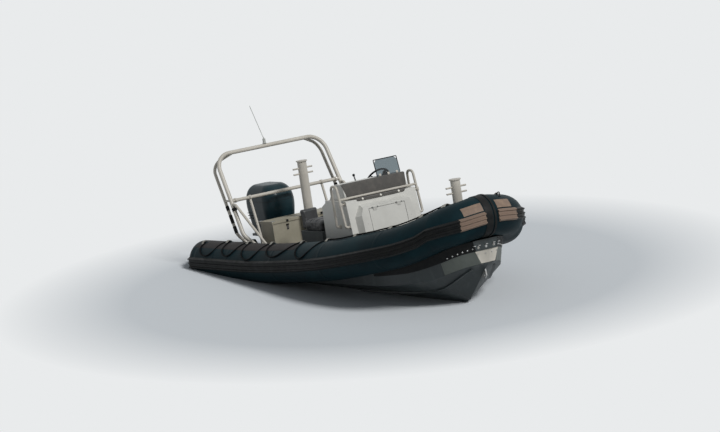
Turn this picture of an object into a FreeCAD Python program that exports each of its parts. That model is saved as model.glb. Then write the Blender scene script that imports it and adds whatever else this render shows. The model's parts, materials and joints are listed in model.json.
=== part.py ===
# Rigid inflatable boat: a deep-V hull between inflated tubes, with a steering console, jockey
# seats, a raked arch, two mooring posts and an outboard engine.
# Millimetres. X points forward from the transom's aft face, Y to port, Z up from the water line
# at rest. Starboard is the -Y side. Most pieces are drawn to starboard and mirrored.
import FreeCAD
import Part

import os
from math import cos, radians, sin, sqrt, tan

V = FreeCAD.Vector
UP = V(0, 0, 1)

# Fits
seam = 0.3              # glued or bolted faces
running = 0.25          # radial clearance of a turning shaft
part_gap = 6.0          # between a moving piece and what it passes

# Inflated tubes
beyond = 4000.0         # a reach past everything cut or bored through
tube_r = 280.0
tube_y = 1090.0         # centre line of the side tubes from the centre plane
tube_z = 240.0          # centre line height aft
tube_aft_x = -350.0     # where the stern cone starts
cone_length = 340.0
cone_tip_r = 150.0
tube_seam_node = 2      # of TUBE_NODES, where the aft tube meets the fore tube
nose_x = 5462.0         # centre line at the nose
nose_z = 820.0
nose_bend_r = 679.0
nose_heading = 57.1     # degrees, where the nose bend starts
nose_rise = 55.0        # of the centre line along the nose bend

# Rub strake
strake_height = 170.0
strake_skin = 12.0
ridge_height = 18.0
ridge_width = 26.0

# Bands over the joint of the two tubes at the nose, measured across the centre plane
wide_band_y = (-95.0, 15.0)
narrow_band_y = (32.0, 66.0)
wide_band_skin = 5.0
narrow_band_skin = 11.0
strake_end_y = 104.0

# Chafe pads above the strake, beside the bands
pad_y = (112.0, 385.0)
pad_low_angle = 21.0    # degrees up from the tube's level side
pad_high_angle = 47.0
pad_skin = 4.0

# Hull
hull_seat = 4.5         # glue line between hull and tube
rim = 25.0              # hull rim beside the deck
deck_top_z = 100.0
deck_thickness = 12.0
bow_deck_z = 396.0
bow_step_x = 4700.0
bow_deck_end_x = 5160.0
transom_thickness = 60.0
transom_top_z = 330.0
transom_shoulder_z = 430.0
transom_step_z = 300.0
transom_tube_gap = 20.0
transom_wing = 40.0     # overhang of the shoulders over the tube
notch_half_width = 400.0
notch_flare = 50.0
knee_y = 300.0
knee_thickness = 30.0
knee_length = 260.0
knee_drop = 20.0

# Stem head, flange under the tube and spray rails
stem_face_x = 5480.0
stem_low_half = 120.0
stem_low_z = 185.0
stem_high_half = 200.0
stem_high_z = 508.0
fitting_low_z = 195.0
fitting_high_z = 365.0
fitting_low_half = 112.0
fitting_high_half = 185.0
fitting_ridge = 78.0    # how far the folded ridge stands forward at the top
flange_start_x = 3900.0
flange_share = 0.42     # of the hull's side, from the top
flange_skin = 6.0
doubler_start_x = 5080.0
doubler_skin = 8.0
rail_start_x = 700.0
rail_end_x = 5340.0
rail_share = 0.58       # of the bottom, from the keel to the chine
rail_width = 46.0
rail_depth = 22.0
lug_y = (0.0, 120.0, 195.0)
lug_z = 440.0
lug_size = 34.0
lug_thickness = 9.0
eye_x = 5385.0
eye_run = 120.0
eye_reach = 75.0
eye_bore_r = 13.0
eye_thickness = 18.0

# Mooring posts
post_r = 67.0
aft_post_x = 950.0
aft_post_top_z = 1530.0
bow_post_x = 4950.0
bow_post_top_z = 1320.0
cap_plate_r = 82.0
cap_plate_thickness = 14.0
post_foot_r = 130.0
post_foot_thickness = 12.0
pin_r = 12.0
post_pin_drops = (110.0, 190.0)
pin_reach = 95.0        # beyond the post's wall

# Arch
arch_r = 30.0
rear_leg_r = 23.0
crossbar_r = 25.0
brace_r = 19.0
tie_r = 15.0
arch_top_z = 1750.0
arch_top_x = 55.0
arch_top_y = 911.0
arch_rake = 0.485       # run over rise, towards aft
arch_bend_r = 250.0
knee_high_y = 945.0
knee_high_z = 600.0
knee_low_y = 765.0
knee_low_z = 360.0
knee_bend_r = 160.0
rear_leg_x = -180.0     # from the hoop
rear_leg_bend_z = 1610.0
rear_leg_bend_r = 200.0
rear_leg_top_y = 600.0
crossbar_z = 1090.0
stanchion_y = 615.0
stanchion_foot_x = 650.0
arch_foot_r = 45.0
arch_foot_thickness = 10.0
brace_bend = 90.0
brace_bend_r = 70.0
brace_foot_x = 1330.0
brace_foot_y = 743.0    # clear of the side tube

# Whip antenna
antenna_y = -55.0
antenna_base_r = 22.0
antenna_base_height = 70.0
antenna_r = 5.0
antenna_length = 560.0
antenna_lean = 29.0

# Console
console_half_width = 580.0
console_aft_x = 2320.0
console_front_x = 2985.0
console_front_z = 1070.0
console_lean = 0.155    # run over rise of the front, aft going up
console_top_z = 1290.0
hood_half_width = 520.0
hood_front_low_x = 2885.0
hood_front_top_x = 2830.0
hood_aft_x = 2640.0
hood_break_z = 1150.0   # where the hood's front starts to slope
dash_low_x = 2430.0
dash_low_z = 1040.0
locker_reach = 100.0
locker_back_x = 2850.0
door_thickness = 20.0
door_half_width = 300.0
door_low_z = 250.0
door_high_z = 925.0
door_gap = 6.0
hinge_r = 7.0
hinge_pin_r = 3.0
hinge_rise = 8.0        # of the hinge line above the door's opening
hinge_stand_off = 11.0
hinge_y = 200.0
hinge_length = 60.0
lug_length = 19.0
leaf_length = 45.0
cover_thickness = 14.0
cover_low_half = 470.0
cover_top_half = 520.0
rail_r = 18.0
rail_y = 640.0
rail_cross_z = 1100.0
rail_foot_z = 712.0
rail_front_foot_x = 3000.0
rail_front_top_x = 2885.0
rail_aft_top_x = 2735.0
rail_aft_foot_x = 2755.0
rail_bend_r = 60.0
rail_foot_bend_r = 25.0
screen_inner_y = 120.0
screen_outer_y = 505.0
screen_height = 240.0
screen_thickness = 8.0
screen_setback = 60.0   # from the hood's upper front edge
screen_lean = 12.0

# Helm
helm_y = 310.0
wheel_r = 180.0
wheel_rim_r = 13.0
wheel_hub_r = 38.0
wheel_hub_length = 50.0
wheel_spoke_r = 9.0
wheel_spoke_turns = (90, 210, 330)
wheel_stand_off = 95.0
helm_boss_r = 45.0
helm_boss_length = 30.0
shaft_r = 12.0
throttle_y = -60.0
throttle_housing = (48.0, 60.0)
throttle_lever_foot = 45.0
throttle_lever_run = (-60.0, 0.0, 150.0)
throttle_lever_r = 9.0
throttle_knob_r = 20.0

# Jockey seats and aft locker
seat_y = 320.0
seat_half_width = 165.0
seat_aft_x = 1480.0
seat_front_x = 2060.0
seat_toe = (60.0, 120.0)   # run and height of the slope under the seat's front
seat_pod_top_z = 600.0
cushion_thickness = 150.0
cushion_round = 40.0
back_top_z = 910.0
back_thickness = 90.0
back_lean = 50.0        # of the backrest's top behind its foot
back_inset = 20.0       # of the backrest's sides from the cushion's
aft_box_x = (440.0, 785.0)
aft_box_half_width = 540.0
aft_box_top_z = 720.0
lid_thickness = 38.0
lid_overhang = 12.0
lid_hinge_y = 300.0
lid_hinge_stand_off = 12.0
lid_hinge_rise = 8.0    # of the hinge line above the lid's underside
lid_lug_drop = 40.0

# Outboard engine
tilt_x = -48.0
tilt_z = 362.0
tilt_tube_r = 16.0
clamp_y = 125.0
clamp_thickness = 22.0
clamp_low_z = 30.0
clamp_toe_x = -60.0
clamp_heel = (-95.0, 200.0)
clamp_head = 24.0       # of the clamp above and round the tilt tube
clamp_hook = (25.0, 110.0)  # over the transom's front face, and down it
tilt_tube_reach = 15.0
tilt_boss_r = 30.0
swivel_half_width = 95.0
swivel_web_half = 38.0
steer_x = -175.0
steer_barrel_r = 42.0
steer_pin_r = 20.0
barrel_low_z = 60.0
barrel_high_z = 370.0
yoke_thickness = 40.0
leg_front_x = -235.0
leg_aft_x = -470.0
leg_half_width = 75.0
leg_rake = 40.0         # of the leg's aft edge, low end ahead of the high one
yoke_half_width = 55.0
tray_inset = (60.0, 50.0)   # from the cowl's outline, aft and at the sides
tray_thickness = 35.0
plate_half = (110.0, 8.0)   # width and thickness of the plate above the propeller
plate_reach = (130.0, 20.0)
cowl_low_z = 455.0
cowl_top_z = 1170.0
cowl_front_x = 265.0
cowl_aft_x = -490.0
cowl_half_width = 262.0
# share of the cowl's height, inset of its outline there
COWL_LEVELS = [
    (0.0, 75), (0.15, 48), (0.42, 14), (0.6, 0), (0.74, 8), (0.88, 48), (0.96, 105), (1.0, 165),
]
plate_z = -440.0
gear_axis_z = -655.0
gear_r = 62.0
gear_front_x = -190.0
gear_aft_x = -500.0
prop_hub_r = 55.0
prop_hub_length = 130.0
prop_r = 190.0
prop_shaft_r = 15.0
prop_shaft_play = 6.0
prop_nut = (28.0, 25.0)     # length past the hub, radius
blade_count = 3
# radius, chord, thickness, pitch angle of a blade's sections
BLADE_SECTIONS = [
    (45, 105, 14, 62), (100, 150, 10, 48), (150, 150, 7, 36), (prop_r, 70, 3, 30),
]
strut_half = 28.0
skeg_half = 6.0
# along X from the leg's aft edge, height from the gear case's axis
SKEG_OUTLINE = [(175, 0), (70, 0), (40, -170), (120, -175)]

# Centre line of the starboard tube up to the nose bend: x, y to starboard, z, inward slope,
# upward slope
TUBE_NODES = [
    (tube_aft_x, tube_y, tube_z, 0.0, 0.0),
    (1000.0, tube_y, tube_z, 0.0, 0.0),
    (3000.0, tube_y, tube_z + 88.0, 0.0, 0.074),
    (4100.0, tube_y - 89.0, tube_z + 210.0, 0.163, 0.141),
    (4942.0, tube_y - 422.0, tube_z + 376.0, 0.801, 0.395),
]

# Hull sections: x, keel z, chine y, chine z, degrees down the tube to the edge and to the top
HULL_STATIONS = [
    (0.0, -420.0, 860.0, -45.0, 38.0, 29.0),
    (1000.0, -420.0, 860.0, -45.0, 38.0, 29.0),
    (1700.0, -420.0, 860.0, -45.0, 38.0, 29.0),
    (2450.0, -420.0, 858.0, -43.0, 38.0, 29.0),
    (3200.0, -420.0, 855.0, -40.0, 41.0, 29.0),
    (3700.0, -420.0, 842.0, -37.0, 49.0, 30.0),
    (4100.0, -420.0, 820.0, -30.0, 57.0, 30.0),
    (4400.0, -418.0, 780.0, -18.0, 63.0, 30.0),
    (4620.0, -410.0, 715.0, -2.0, 70.0, 31.0),
    (4760.0, -397.0, 645.0, 12.0, 73.0, 36.0),
    (4900.0, -345.0, 570.0, 30.0, 76.0, 39.0),
    (5020.0, -240.0, 490.0, 60.0, 79.0, 40.0),
    (5130.0, -140.0, 418.0, 95.0, 81.0, 42.0),
    (5240.0, -40.0, 340.0, 130.0, 83.0, 48.0),
    (5340.0, 55.0, 255.0, 160.0, 85.0, 66.0),
]

# Starboard half of the locker's outline on the console and at its front, top first: y, z
LOCKER_BASE = [(485.0, 830.0), (380.0, 985.0)]
LOCKER_FRONT = [(430.0, 850.0), (390.0, 950.0)]


def box(low, high):
    """Block between two corners."""
    return Part.makeBox(high[0] - low[0], high[1] - low[1], high[2] - low[2], V(*low))


def rod(start, end, radius):
    """Round bar between two points."""
    run = end - start
    return Part.makeCylinder(radius, run.Length, start, run)


def polygon(points):
    return Part.makePolygon(points + [points[0]])


def side_plate(outline, y_low, y_high):
    """Plate with its outline in X and Z, between two distances from the centre plane."""
    face = Part.Face(polygon([V(x, y_low, z) for x, z in outline]))
    return face.extrude(V(0, y_high - y_low, 0))


def mirrored(shape):
    return shape.mirror(V(0, 0, 0), V(0, 1, 0))


def pair(shape):
    """A starboard piece and its port twin."""
    return Part.Compound([shape, mirrored(shape)])


def save(name, shape):
    shape.exportStep("parts/" + name + ".step")


def tangent_arc(start, direction, end):
    """Arc from start along direction to end, with its direction there."""
    chord = end - start
    end_direction = chord * (2 * chord.dot(direction) / chord.dot(chord)) - direction
    across = chord - direction * chord.dot(direction)
    if across.Length < 1e-6:
        return Part.LineSegment(start, end).toShape(), end_direction
    across.normalize()
    radius = chord.dot(chord) / (2 * chord.dot(across))
    centre = start + across * radius
    to_middle = (start + end) * 0.5 - centre
    to_middle.normalize()
    return Part.Arc(start, centre + to_middle * radius, end).toShape(), end_direction


def arc_pair(start, start_dir, end, end_dir):
    """Two tangent arcs between two directed points."""
    gap = end - start
    both = start_dir + end_dir
    a = 2 - 2 * start_dir.dot(end_dir)
    b = 2 * gap.dot(both)
    c = -gap.dot(gap)
    if a < 1e-9:
        reach = -c / b
    else:
        reach = (-b + sqrt(b * b - 4 * a * c)) / (2 * a)
    joint = (start + end + (start_dir - end_dir) * reach) * 0.5
    first, joint_dir = tangent_arc(start, start_dir, joint)
    joint_dir.normalize()
    second = tangent_arc(joint, joint_dir, end)[0]
    return [first, second]


def arc_chain(nodes):
    """Wire of tangent arcs through (point, direction) pairs."""
    edges = []
    for (start, start_dir), (end, end_dir) in zip(nodes[:-1], nodes[1:]):
        edges += arc_pair(start, start_dir, end, end_dir)
    return Part.Wire(edges)


def directed(x, y, z, run):
    direction = V(*run)
    direction.normalize()
    return V(x, y, z), direction


def bent_path(points, radii):
    """Straight runs joined by tangent arcs; one radius for each inner point."""
    edges = []
    at = points[0]
    for before, corner, after, radius in zip(points[:-2], points[1:-1], points[2:], radii):
        back = before - corner
        on = after - corner
        back.normalize()
        on.normalize()
        half = back.getAngle(on) / 2
        reach = radius / tan(half)
        bisector = back + on
        bisector.normalize()
        middle = corner + bisector * (radius / sin(half) - radius)
        start = corner + back * reach
        end = corner + on * reach
        edges.append(Part.LineSegment(at, start).toShape())
        edges.append(Part.Arc(start, middle, end).toShape())
        at = end
    edges.append(Part.LineSegment(at, points[-1]).toShape())
    return Part.Wire(edges)


def bent_tube(points, radii, radius):
    """Round bar along a bent path."""
    path = bent_path(points, radii)
    ring = Part.Wire([Part.Circle(points[0], points[1] - points[0], radius).toShape()])
    return path.makePipeShell([ring], True, False)


def upright_sweep(path, profile):
    """Solid that keeps its profile upright along a path."""
    sweep = Part.BRepOffsetAPI.MakePipeShell(path)
    sweep.setBiNormalMode(UP)
    sweep.add(profile, False, False)
    sweep.build()
    sweep.makeSolid()
    return sweep.shape()


def domed_spindle(outline, dome_reach):
    """Solid of revolution about X from (x, radius) points, ending in a dome."""
    first_x, first_r = outline[0]
    last_x, last_r = outline[-1]
    dome_r = (last_r ** 2 + dome_reach ** 2) / (2 * abs(dome_reach))
    tip = V(last_x + dome_reach, 0, 0)
    centre = tip - V(dome_r if dome_reach > 0 else -dome_r, 0, 0)
    chord_middle = (tip + V(last_x, 0, last_r)) * 0.5 - centre
    chord_middle.normalize()
    points = [V(first_x, 0, 0)] + [V(x, 0, r) for x, r in outline]
    edges = [Part.LineSegment(a, b).toShape() for a, b in zip(points[:-1], points[1:])]
    edges.append(Part.Arc(points[-1], centre + chord_middle * dome_r, tip).toShape())
    edges.append(Part.LineSegment(tip, points[0]).toShape())
    return Part.Face(Part.Wire(edges)).revolve(V(0, 0, 0), V(1, 0, 0), 360)


def knuckle(start, leaf):
    """Hinge barrel along Y on its leaf, bored for the pin."""
    end = start + V(0, hinge_length, 0)
    return rod(start, end, hinge_r).fuse(leaf).cut(rod(start, end, hinge_pin_r + running))


def lug_places(middle):
    """Where the two lugs beside a hinge barrel start."""
    half = hinge_length / 2 + 1
    return middle - half - lug_length, middle + half


def hinge_pin(middle):
    """Pin through a hinge barrel and the lugs on both sides of it."""
    reach = V(0, hinge_length / 2 + 1 + lug_length, 0)
    return rod(middle - reach, middle + reach, hinge_pin_r)


def on_deck(shape):
    """Shape with everything below the deck cut away."""
    return shape.cut(box((-beyond, -beyond, -beyond), (beyond, beyond, deck_top_z + seam)))


def level(direction):
    flat = V(direction.x, direction.y, 0)
    flat.normalize()
    return flat


# Tube centre line
def tube_nodes():
    """Directed points of the starboard centre line, from the stern cone to the centre plane."""
    nodes = [directed(x, -y, z, (1, inward, upward)) for x, y, z, inward, upward in TUBE_NODES]
    turn = radians(nose_heading)
    bend_x = nose_x - nose_bend_r * (1 - sin(turn))
    bend_y = nose_bend_r * cos(turn)
    rise = 2 * nose_rise * cos(turn) / bend_y
    nodes.append(directed(bend_x, -bend_y, nose_z - nose_rise, (cos(turn), sin(turn), rise)))
    nodes.append(directed(nose_x, 0, nose_z, (0, 1, 0)))
    return nodes


tube_path = arc_chain(tube_nodes())
PATH_POINTS = tube_path.discretize(500)


def ring_at(node, radius):
    return Part.Wire([Part.Circle(node[0], level(node[1]), radius).toShape()])


def strake_profile(node):
    """Moulded strip with three ridges, in the upright plane across the tube."""
    outward = level(node[1]).cross(UP)

    def at(u, v):
        return node[0] + outward * u + UP * v

    inner = tube_r + seam
    half = strake_height / 2
    edge = sqrt(inner ** 2 - half ** 2)
    face = inner + strake_skin
    crest = face + ridge_height
    outline = [at(edge + strake_skin / 2, -half)]
    for centre in (-half + ridge_width, 0, half - ridge_width):
        outline.append(at(face, centre - ridge_width / 2))
        outline.append(at(crest, centre - ridge_width / 5))
        outline.append(at(crest, centre + ridge_width / 5))
        outline.append(at(face, centre + ridge_width / 2))
    outline.append(at(edge + strake_skin / 2, half))
    outline.append(at(edge, half))
    back = Part.Arc(at(edge, half), at(inner, 0), at(edge, -half)).toShape()
    lines = [Part.LineSegment(a, b).toShape() for a, b in zip(outline[:-1], outline[1:])]
    closing = Part.LineSegment(at(edge, -half), outline[0]).toShape()
    return Part.Wire(lines + [back, closing])


def make_tubes():
    """Starboard tube: the aft part with its stern cone, and the fore part that bends to the nose."""
    nodes = tube_nodes()
    tip_x = tube_aft_x - cone_length
    cone = domed_spindle([(tube_aft_x, tube_r), (tip_x + cone_tip_r, cone_tip_r)], -cone_tip_r)
    cone.translate(V(0, -tube_y, tube_z))
    parts = []
    for run in (nodes[:tube_seam_node + 1], nodes[tube_seam_node:]):
        parts.append(upright_sweep(arc_chain(run), ring_at(run[0], tube_r)))
    return parts[0].fuse(cone), parts[1]


def make_strake():
    strake = upright_sweep(tube_path, strake_profile(tube_nodes()[0]))
    reach = 2 * tube_r
    nose = V(nose_x, 0, nose_z)
    gap = box(nose - V(reach, strake_end_y, reach), nose + V(reach, strake_end_y, reach))
    return strake.cut(gap)


def nose_sweep(radius):
    """Both sides of the nose bend as one solid."""
    bend = tube_nodes()[-2:]
    half = upright_sweep(arc_chain(bend), ring_at(bend[0], radius))
    return half.fuse(mirrored(half))


def make_nose_bands():
    """A wide band and a narrow bead round the joint of the two tubes."""
    reach = 2 * tube_r
    inner = nose_sweep(tube_r + seam)
    bands = []
    for (low_y, high_y), skin in ((wide_band_y, wide_band_skin), (narrow_band_y, narrow_band_skin)):
        slab = box((nose_x - reach, low_y, nose_z - reach), (nose_x + reach, high_y, nose_z + reach))
        bands.append(nose_sweep(tube_r + seam + skin).common(slab).cut(inner))
    return Part.Compound(bands)


def make_chafe_pad():
    """Pad on the tube above the rub strake, starboard of the nose bands."""
    bend = tube_nodes()[-2:]
    node = bend[0]
    outward = level(node[1]).cross(UP)
    inner = tube_r + seam
    corners = []
    for radius in (inner, inner + pad_skin):
        arc = []
        for share in (0, 0.5, 1):
            turn = radians(pad_low_angle + share * (pad_high_angle - pad_low_angle))
            arc.append(node[0] + outward * radius * cos(turn) + UP * radius * sin(turn))
        corners.append(arc)
    (a, b, c), (d, e, f) = corners
    edges = [Part.Arc(a, b, c).toShape(), Part.LineSegment(c, f).toShape(),
             Part.Arc(f, e, d).toShape(), Part.LineSegment(d, a).toShape()]
    pad = upright_sweep(arc_chain(bend), Part.Wire(edges))
    reach = 2 * tube_r
    zone = box((nose_x - 2 * reach, -pad_y[1], nose_z - reach), (nose_x + reach, -pad_y[0], nose_z + reach))
    return pad.common(zone)


# Hull
def hull_point(x, angle, reach):
    """Starboard point of the hull on the tube's lower inboard side."""
    turn = radians(angle)
    lane = []
    for a, b in zip(PATH_POINTS[:-1], PATH_POINTS[1:]):
        inboard = UP.cross(level(b - a))
        lane.append((a + b) * 0.5 + inboard * (reach * cos(turn)) - UP * (reach * sin(turn)))
    for a, b in zip(lane[:-1], lane[1:]):
        if a.x <= x < b.x:
            return a + (b - a) * ((x - a.x) / (b.x - a.x))
    raise ValueError("no point of the tube's side at x = %.0f" % x)


def station_section(row):
    """Keel and starboard chine, edge, seat and top of a hull section, its seat clear of the tube."""
    x, keel_z, chine_y, chine_z, edge_angle, top_angle = row
    seat_angle = (edge_angle + top_angle) / 2
    reach = (tube_r + hull_seat) / cos(radians(edge_angle - top_angle) / 4)
    on_tube = [hull_point(x, angle, reach) for angle in (edge_angle, seat_angle, top_angle)]
    return [V(x, 0, keel_z), V(x, -chine_y, chine_z)] + on_tube


def stem_section():
    """The same five points on the flat face under the nose."""
    low = [V(stem_face_x, 0, stem_low_z - 1), V(stem_face_x, -stem_low_half, stem_low_z)]
    return low + [V(stem_face_x, -stem_high_half * share, stem_high_z) for share in (1, 0.75, 0.5)]


SECTIONS = [station_section(row) for row in HULL_STATIONS] + [stem_section()]


def section_at(x):
    """Section of the ruled hull between two stations."""
    for before, after in zip(SECTIONS[:-1], SECTIONS[1:]):
        if before[0].x <= x <= after[0].x:
            share = (x - before[0].x) / (after[0].x - before[0].x)
            return [a + (b - a) * share for a, b in zip(before, after)]
    return SECTIONS[-1]


def sections_between(low_x, high_x):
    """Hull sections inside a range, with one made at each end."""
    inside = [section for section in SECTIONS if low_x < section[0].x < high_x]
    return [section_at(low_x)] + inside + [section_at(high_x)]


def side_lines(low_x, high_x):
    """Keel, chine and edge of each section in a range."""
    return [section[:3] for section in sections_between(low_x, high_x)]


def deck_space(low_x, high_x, inset, low_z, height):
    """Space between the hull's rims, as wide as the sections' tops less an inset."""
    tops = [section[-1] for section in sections_between(low_x, high_x)]
    starboard = [V(top.x, top.y + inset, low_z) for top in tops]
    port = [V(p.x, -p.y, p.z) for p in reversed(starboard)]
    return Part.Face(polygon(starboard + port)).extrude(UP * height)


def make_hull():
    """Bottom up to the deck's height, and the topsides with the bow above it."""
    outlines = []
    for section in SECTIONS:
        port = [V(p.x, -p.y, p.z) for p in reversed(section[1:])]
        outlines.append(polygon(section + port))
    outer = Part.makeLoft(outlines, True, True)
    floor_z = deck_top_z - deck_thickness
    below = box((-1, -tube_y, 2 * SECTIONS[0][0].z), (2 * nose_x, tube_y, floor_z))
    cockpit = deck_space(0.0, bow_step_x, rim, floor_z, nose_z)
    bow_space = deck_space(bow_step_x, bow_deck_end_x, rim, bow_deck_z - deck_thickness, nose_z)
    return outer.common(below), outer.cut(below).cut(cockpit).cut(bow_space)


def deck_plate(low_x, high_x, top_z):
    plate = deck_thickness - seam
    return deck_space(low_x, high_x, rim + seam, top_z - plate, plate)


def strip_section(low, high, skin):
    """Thin section standing off a line of the hull, between two of its points."""
    along = high - low
    outward = V(0, -along.z, along.y)
    outward.normalize()
    if outward.y > 0:
        outward = -outward
    return polygon([p + outward * lift for p, lift in
                    ((low, seam), (high, seam), (high, seam + skin), (low, seam + skin))])


def side_strip(start_x, low_share, high_share, skin):
    """Strip along the hull's starboard side, up to the stem's face."""
    sections = []
    for keel, chine, edge in side_lines(start_x, stem_face_x):
        rise = edge - chine
        sections.append(strip_section(chine + rise * low_share, chine + rise * high_share, skin))
    return Part.makeLoft(sections, True, True)


def make_spray_rail():
    """Three-cornered rail along the starboard bottom."""
    sections = []
    for keel, chine, edge in side_lines(rail_start_x, rail_end_x):
        run = chine - keel
        down = V(0, run.z, -run.y)
        down.normalize()
        if down.z > 0:
            down = -down
        across = V(run)
        across.normalize()
        inner = keel + run * rail_share + down * seam
        outer = inner + across * rail_width
        sections.append(polygon([inner, outer, outer + down * rail_depth]))
    return Part.makeLoft(sections, True, True)


def make_stem_fitting():
    """Folded plate on the stem's face, with lugs above it."""
    x = stem_face_x + seam

    def fold(half, ridge, z):
        return polygon([V(x, -half, z), V(x + ridge, 0, z), V(x, half, z)])

    bracket = Part.makeLoft([fold(fitting_low_half, fitting_ridge * 0.1, fitting_low_z),
                             fold(fitting_high_half, fitting_ridge, fitting_high_z)], True, True)
    lugs = []
    for y in sorted({side * reach for reach in lug_y for side in (-1, 1)}):
        lugs.append(box((x, y - lug_size / 2, lug_z), (x + lug_size, y + lug_size / 2, lug_z + lug_thickness)))
    return bracket, Part.Compound(lugs)


def make_bow_eye():
    """Eye plate on the stem for a painter."""
    low = section_at(eye_x - eye_run)[0]
    high = section_at(eye_x)[0]
    run = high - low
    run.normalize()
    ahead = V(run.z, 0, -run.x)
    seat_low = low + ahead * seam
    seat_high = high + ahead * seam
    tip = (seat_low + seat_high) * 0.5 + ahead * eye_reach
    outline = [seat_low, seat_high, tip + run * 28, tip - run * 28]
    plate = side_plate([(p.x, p.z) for p in outline], -eye_thickness / 2, eye_thickness / 2)
    bore = rod(tip - ahead * 28 - V(0, 50, 0), tip - ahead * 28 + V(0, 50, 0), eye_bore_r)
    return plate.cut(bore)


def make_transom():
    low_z = deck_top_z - deck_thickness + seam
    half_width = tube_y - tube_r - transom_tube_gap
    outline = [
        (half_width, low_z), (half_width, transom_step_z),
        (half_width + transom_wing, transom_shoulder_z),
        (notch_half_width + notch_flare, transom_shoulder_z), (notch_half_width, transom_top_z),
    ]
    points = [V(0, -y, z) for y, z in outline] + [V(0, y, z) for y, z in reversed(outline)]
    plate = Part.Face(polygon(points)).extrude(V(transom_thickness, 0, 0))
    knee_outline = [
        (transom_thickness + seam, low_z + deck_thickness),
        (transom_thickness + knee_length, low_z + deck_thickness),
        (transom_thickness + seam, transom_top_z - knee_drop),
    ]
    return plate, side_plate(knee_outline, -knee_y - knee_thickness, -knee_y)


# Mooring posts
def make_post(x, foot_z, top_z):
    """Round post on a foot plate, with a cap plate and two levels of cross pins."""
    base = V(x, 0, foot_z)
    foot = Part.makeCylinder(post_foot_r, post_foot_thickness, base)
    tube = Part.makeCylinder(post_r, top_z - cap_plate_thickness - foot_z, base)
    cap = Part.makeCylinder(cap_plate_r, cap_plate_thickness, V(x, 0, top_z - cap_plate_thickness))
    post = tube.fuse(foot).fuse(cap)
    for drop in post_pin_drops:
        half = post_r + pin_reach
        post = post.fuse(rod(V(x, -half, top_z - drop), V(x, half, top_z - drop), pin_r))
    return post


# Arch
def arch_x(z):
    """Distance forward of the front hoop's raked plane at a height."""
    return arch_top_x + arch_rake * (arch_top_z - z)


def leg_points(offset, top):
    """Starboard leg of the arch from the deck up to a top point, set back by an offset."""
    foot_z = deck_top_z + seam
    return [
        V(arch_x(foot_z) + offset, -knee_low_y, foot_z),
        V(arch_x(knee_low_z) + offset, -knee_low_y, knee_low_z),
        V(arch_x(knee_high_z) + offset, -knee_high_y, knee_high_z),
        top,
    ]


def leg_foot(offset):
    foot = leg_points(offset, None)[0]
    return Part.makeCylinder(arch_foot_r, arch_foot_thickness, foot)


def make_hoop():
    half = leg_points(0, V(arch_top_x, -arch_top_y, arch_top_z))
    points = half + [V(p.x, -p.y, p.z) for p in reversed(half)]
    radii = [knee_bend_r, knee_bend_r, arch_bend_r, arch_bend_r, knee_bend_r, knee_bend_r]
    hoop = on_deck(bent_tube(points, radii, arch_r))
    foot = leg_foot(0)
    return hoop.fuse(foot).fuse(mirrored(foot))


def make_rear_leg(hoop):
    """Leg behind the hoop's, which joins the hoop's top bar inboard of its bend."""
    bend = V(arch_x(rear_leg_bend_z) + rear_leg_x, -leg_y(rear_leg_bend_z), rear_leg_bend_z)
    points = leg_points(rear_leg_x, bend) + [V(arch_top_x, -rear_leg_top_y, arch_top_z)]
    leg = bent_tube(points, [knee_bend_r, knee_bend_r, rear_leg_bend_r], rear_leg_r)
    return on_deck(leg).fuse(leg_foot(rear_leg_x)).cut(hoop)


def leg_y(z):
    share = (z - knee_high_z) / (arch_top_z - knee_high_z)
    return knee_high_y + (arch_top_y - knee_high_y) * share


def make_arch():
    hoop = make_hoop()
    rear_leg = make_rear_leg(hoop)
    bar_x = arch_x(crossbar_z)
    reach = leg_y(crossbar_z)
    crossbar = rod(V(bar_x, -reach, crossbar_z), V(bar_x, reach, crossbar_z), crossbar_r)
    crossbar = crossbar.cut(hoop)
    foot_z = deck_top_z + seam
    stanchion = rod(V(bar_x, -stanchion_y, crossbar_z), V(stanchion_foot_x, -stanchion_y, foot_z), brace_r)
    stanchion = on_deck(stanchion.cut(crossbar))
    brace_z = crossbar_z - 2 * crossbar_r
    brace_start = V(arch_x(brace_z), -leg_y(brace_z), brace_z)
    brace_points = [brace_start, brace_start + V(brace_bend, 0, 0),
                    V(brace_foot_x, -brace_foot_y, foot_z - brace_r)]
    brace = on_deck(bent_tube(brace_points, [brace_bend_r], brace_r).cut(hoop))
    x = arch_x(crossbar_z)
    tie = rod(V(x + rear_leg_x, -reach, crossbar_z), V(x, -reach, crossbar_z), tie_r)
    return hoop, rear_leg, crossbar, stanchion, brace, tie.cut(hoop).cut(rear_leg)


def make_antenna():
    base = V(arch_top_x, antenna_y, arch_top_z + arch_r + seam)
    stub = Part.makeCylinder(antenna_base_r, antenna_base_height, base)
    start = base + V(0, 0, antenna_base_height)
    lean = radians(antenna_lean)
    end = start + V(-sin(lean), 0, cos(lean)) * antenna_length
    return stub.fuse(rod(start - (end - start) * 0.02, end, antenna_r))


# Console
def console_x(z):
    """Distance forward of the console's leaning front at a height."""
    return console_front_x + (console_front_z - z) * console_lean


def make_console_body():
    low_z = deck_top_z + seam
    lower = [
        (console_aft_x, low_z), (console_x(low_z), low_z), (console_front_x, console_front_z),
        (dash_low_x, console_front_z), (dash_low_x, dash_low_z), (console_aft_x, dash_low_z - 60),
    ]
    body = side_plate(lower, -console_half_width, console_half_width)
    hood = [
        (dash_low_x, dash_low_z), (hood_front_low_x, console_front_z - 20),
        (hood_front_low_x, hood_break_z), (hood_front_top_x, console_top_z),
        (hood_aft_x, console_top_z),
    ]
    return body.fuse(side_plate(hood, -hood_half_width, hood_half_width)).cut(locker_space())


def locker_section(reach, outline):
    """Six-sided section of the locker, a reach ahead of the console's front."""
    points = [V(console_x(z) + reach, -y, z) for y, z in outline]
    return polygon(points + [V(p.x, -p.y, p.z) for p in reversed(points)])


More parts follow.
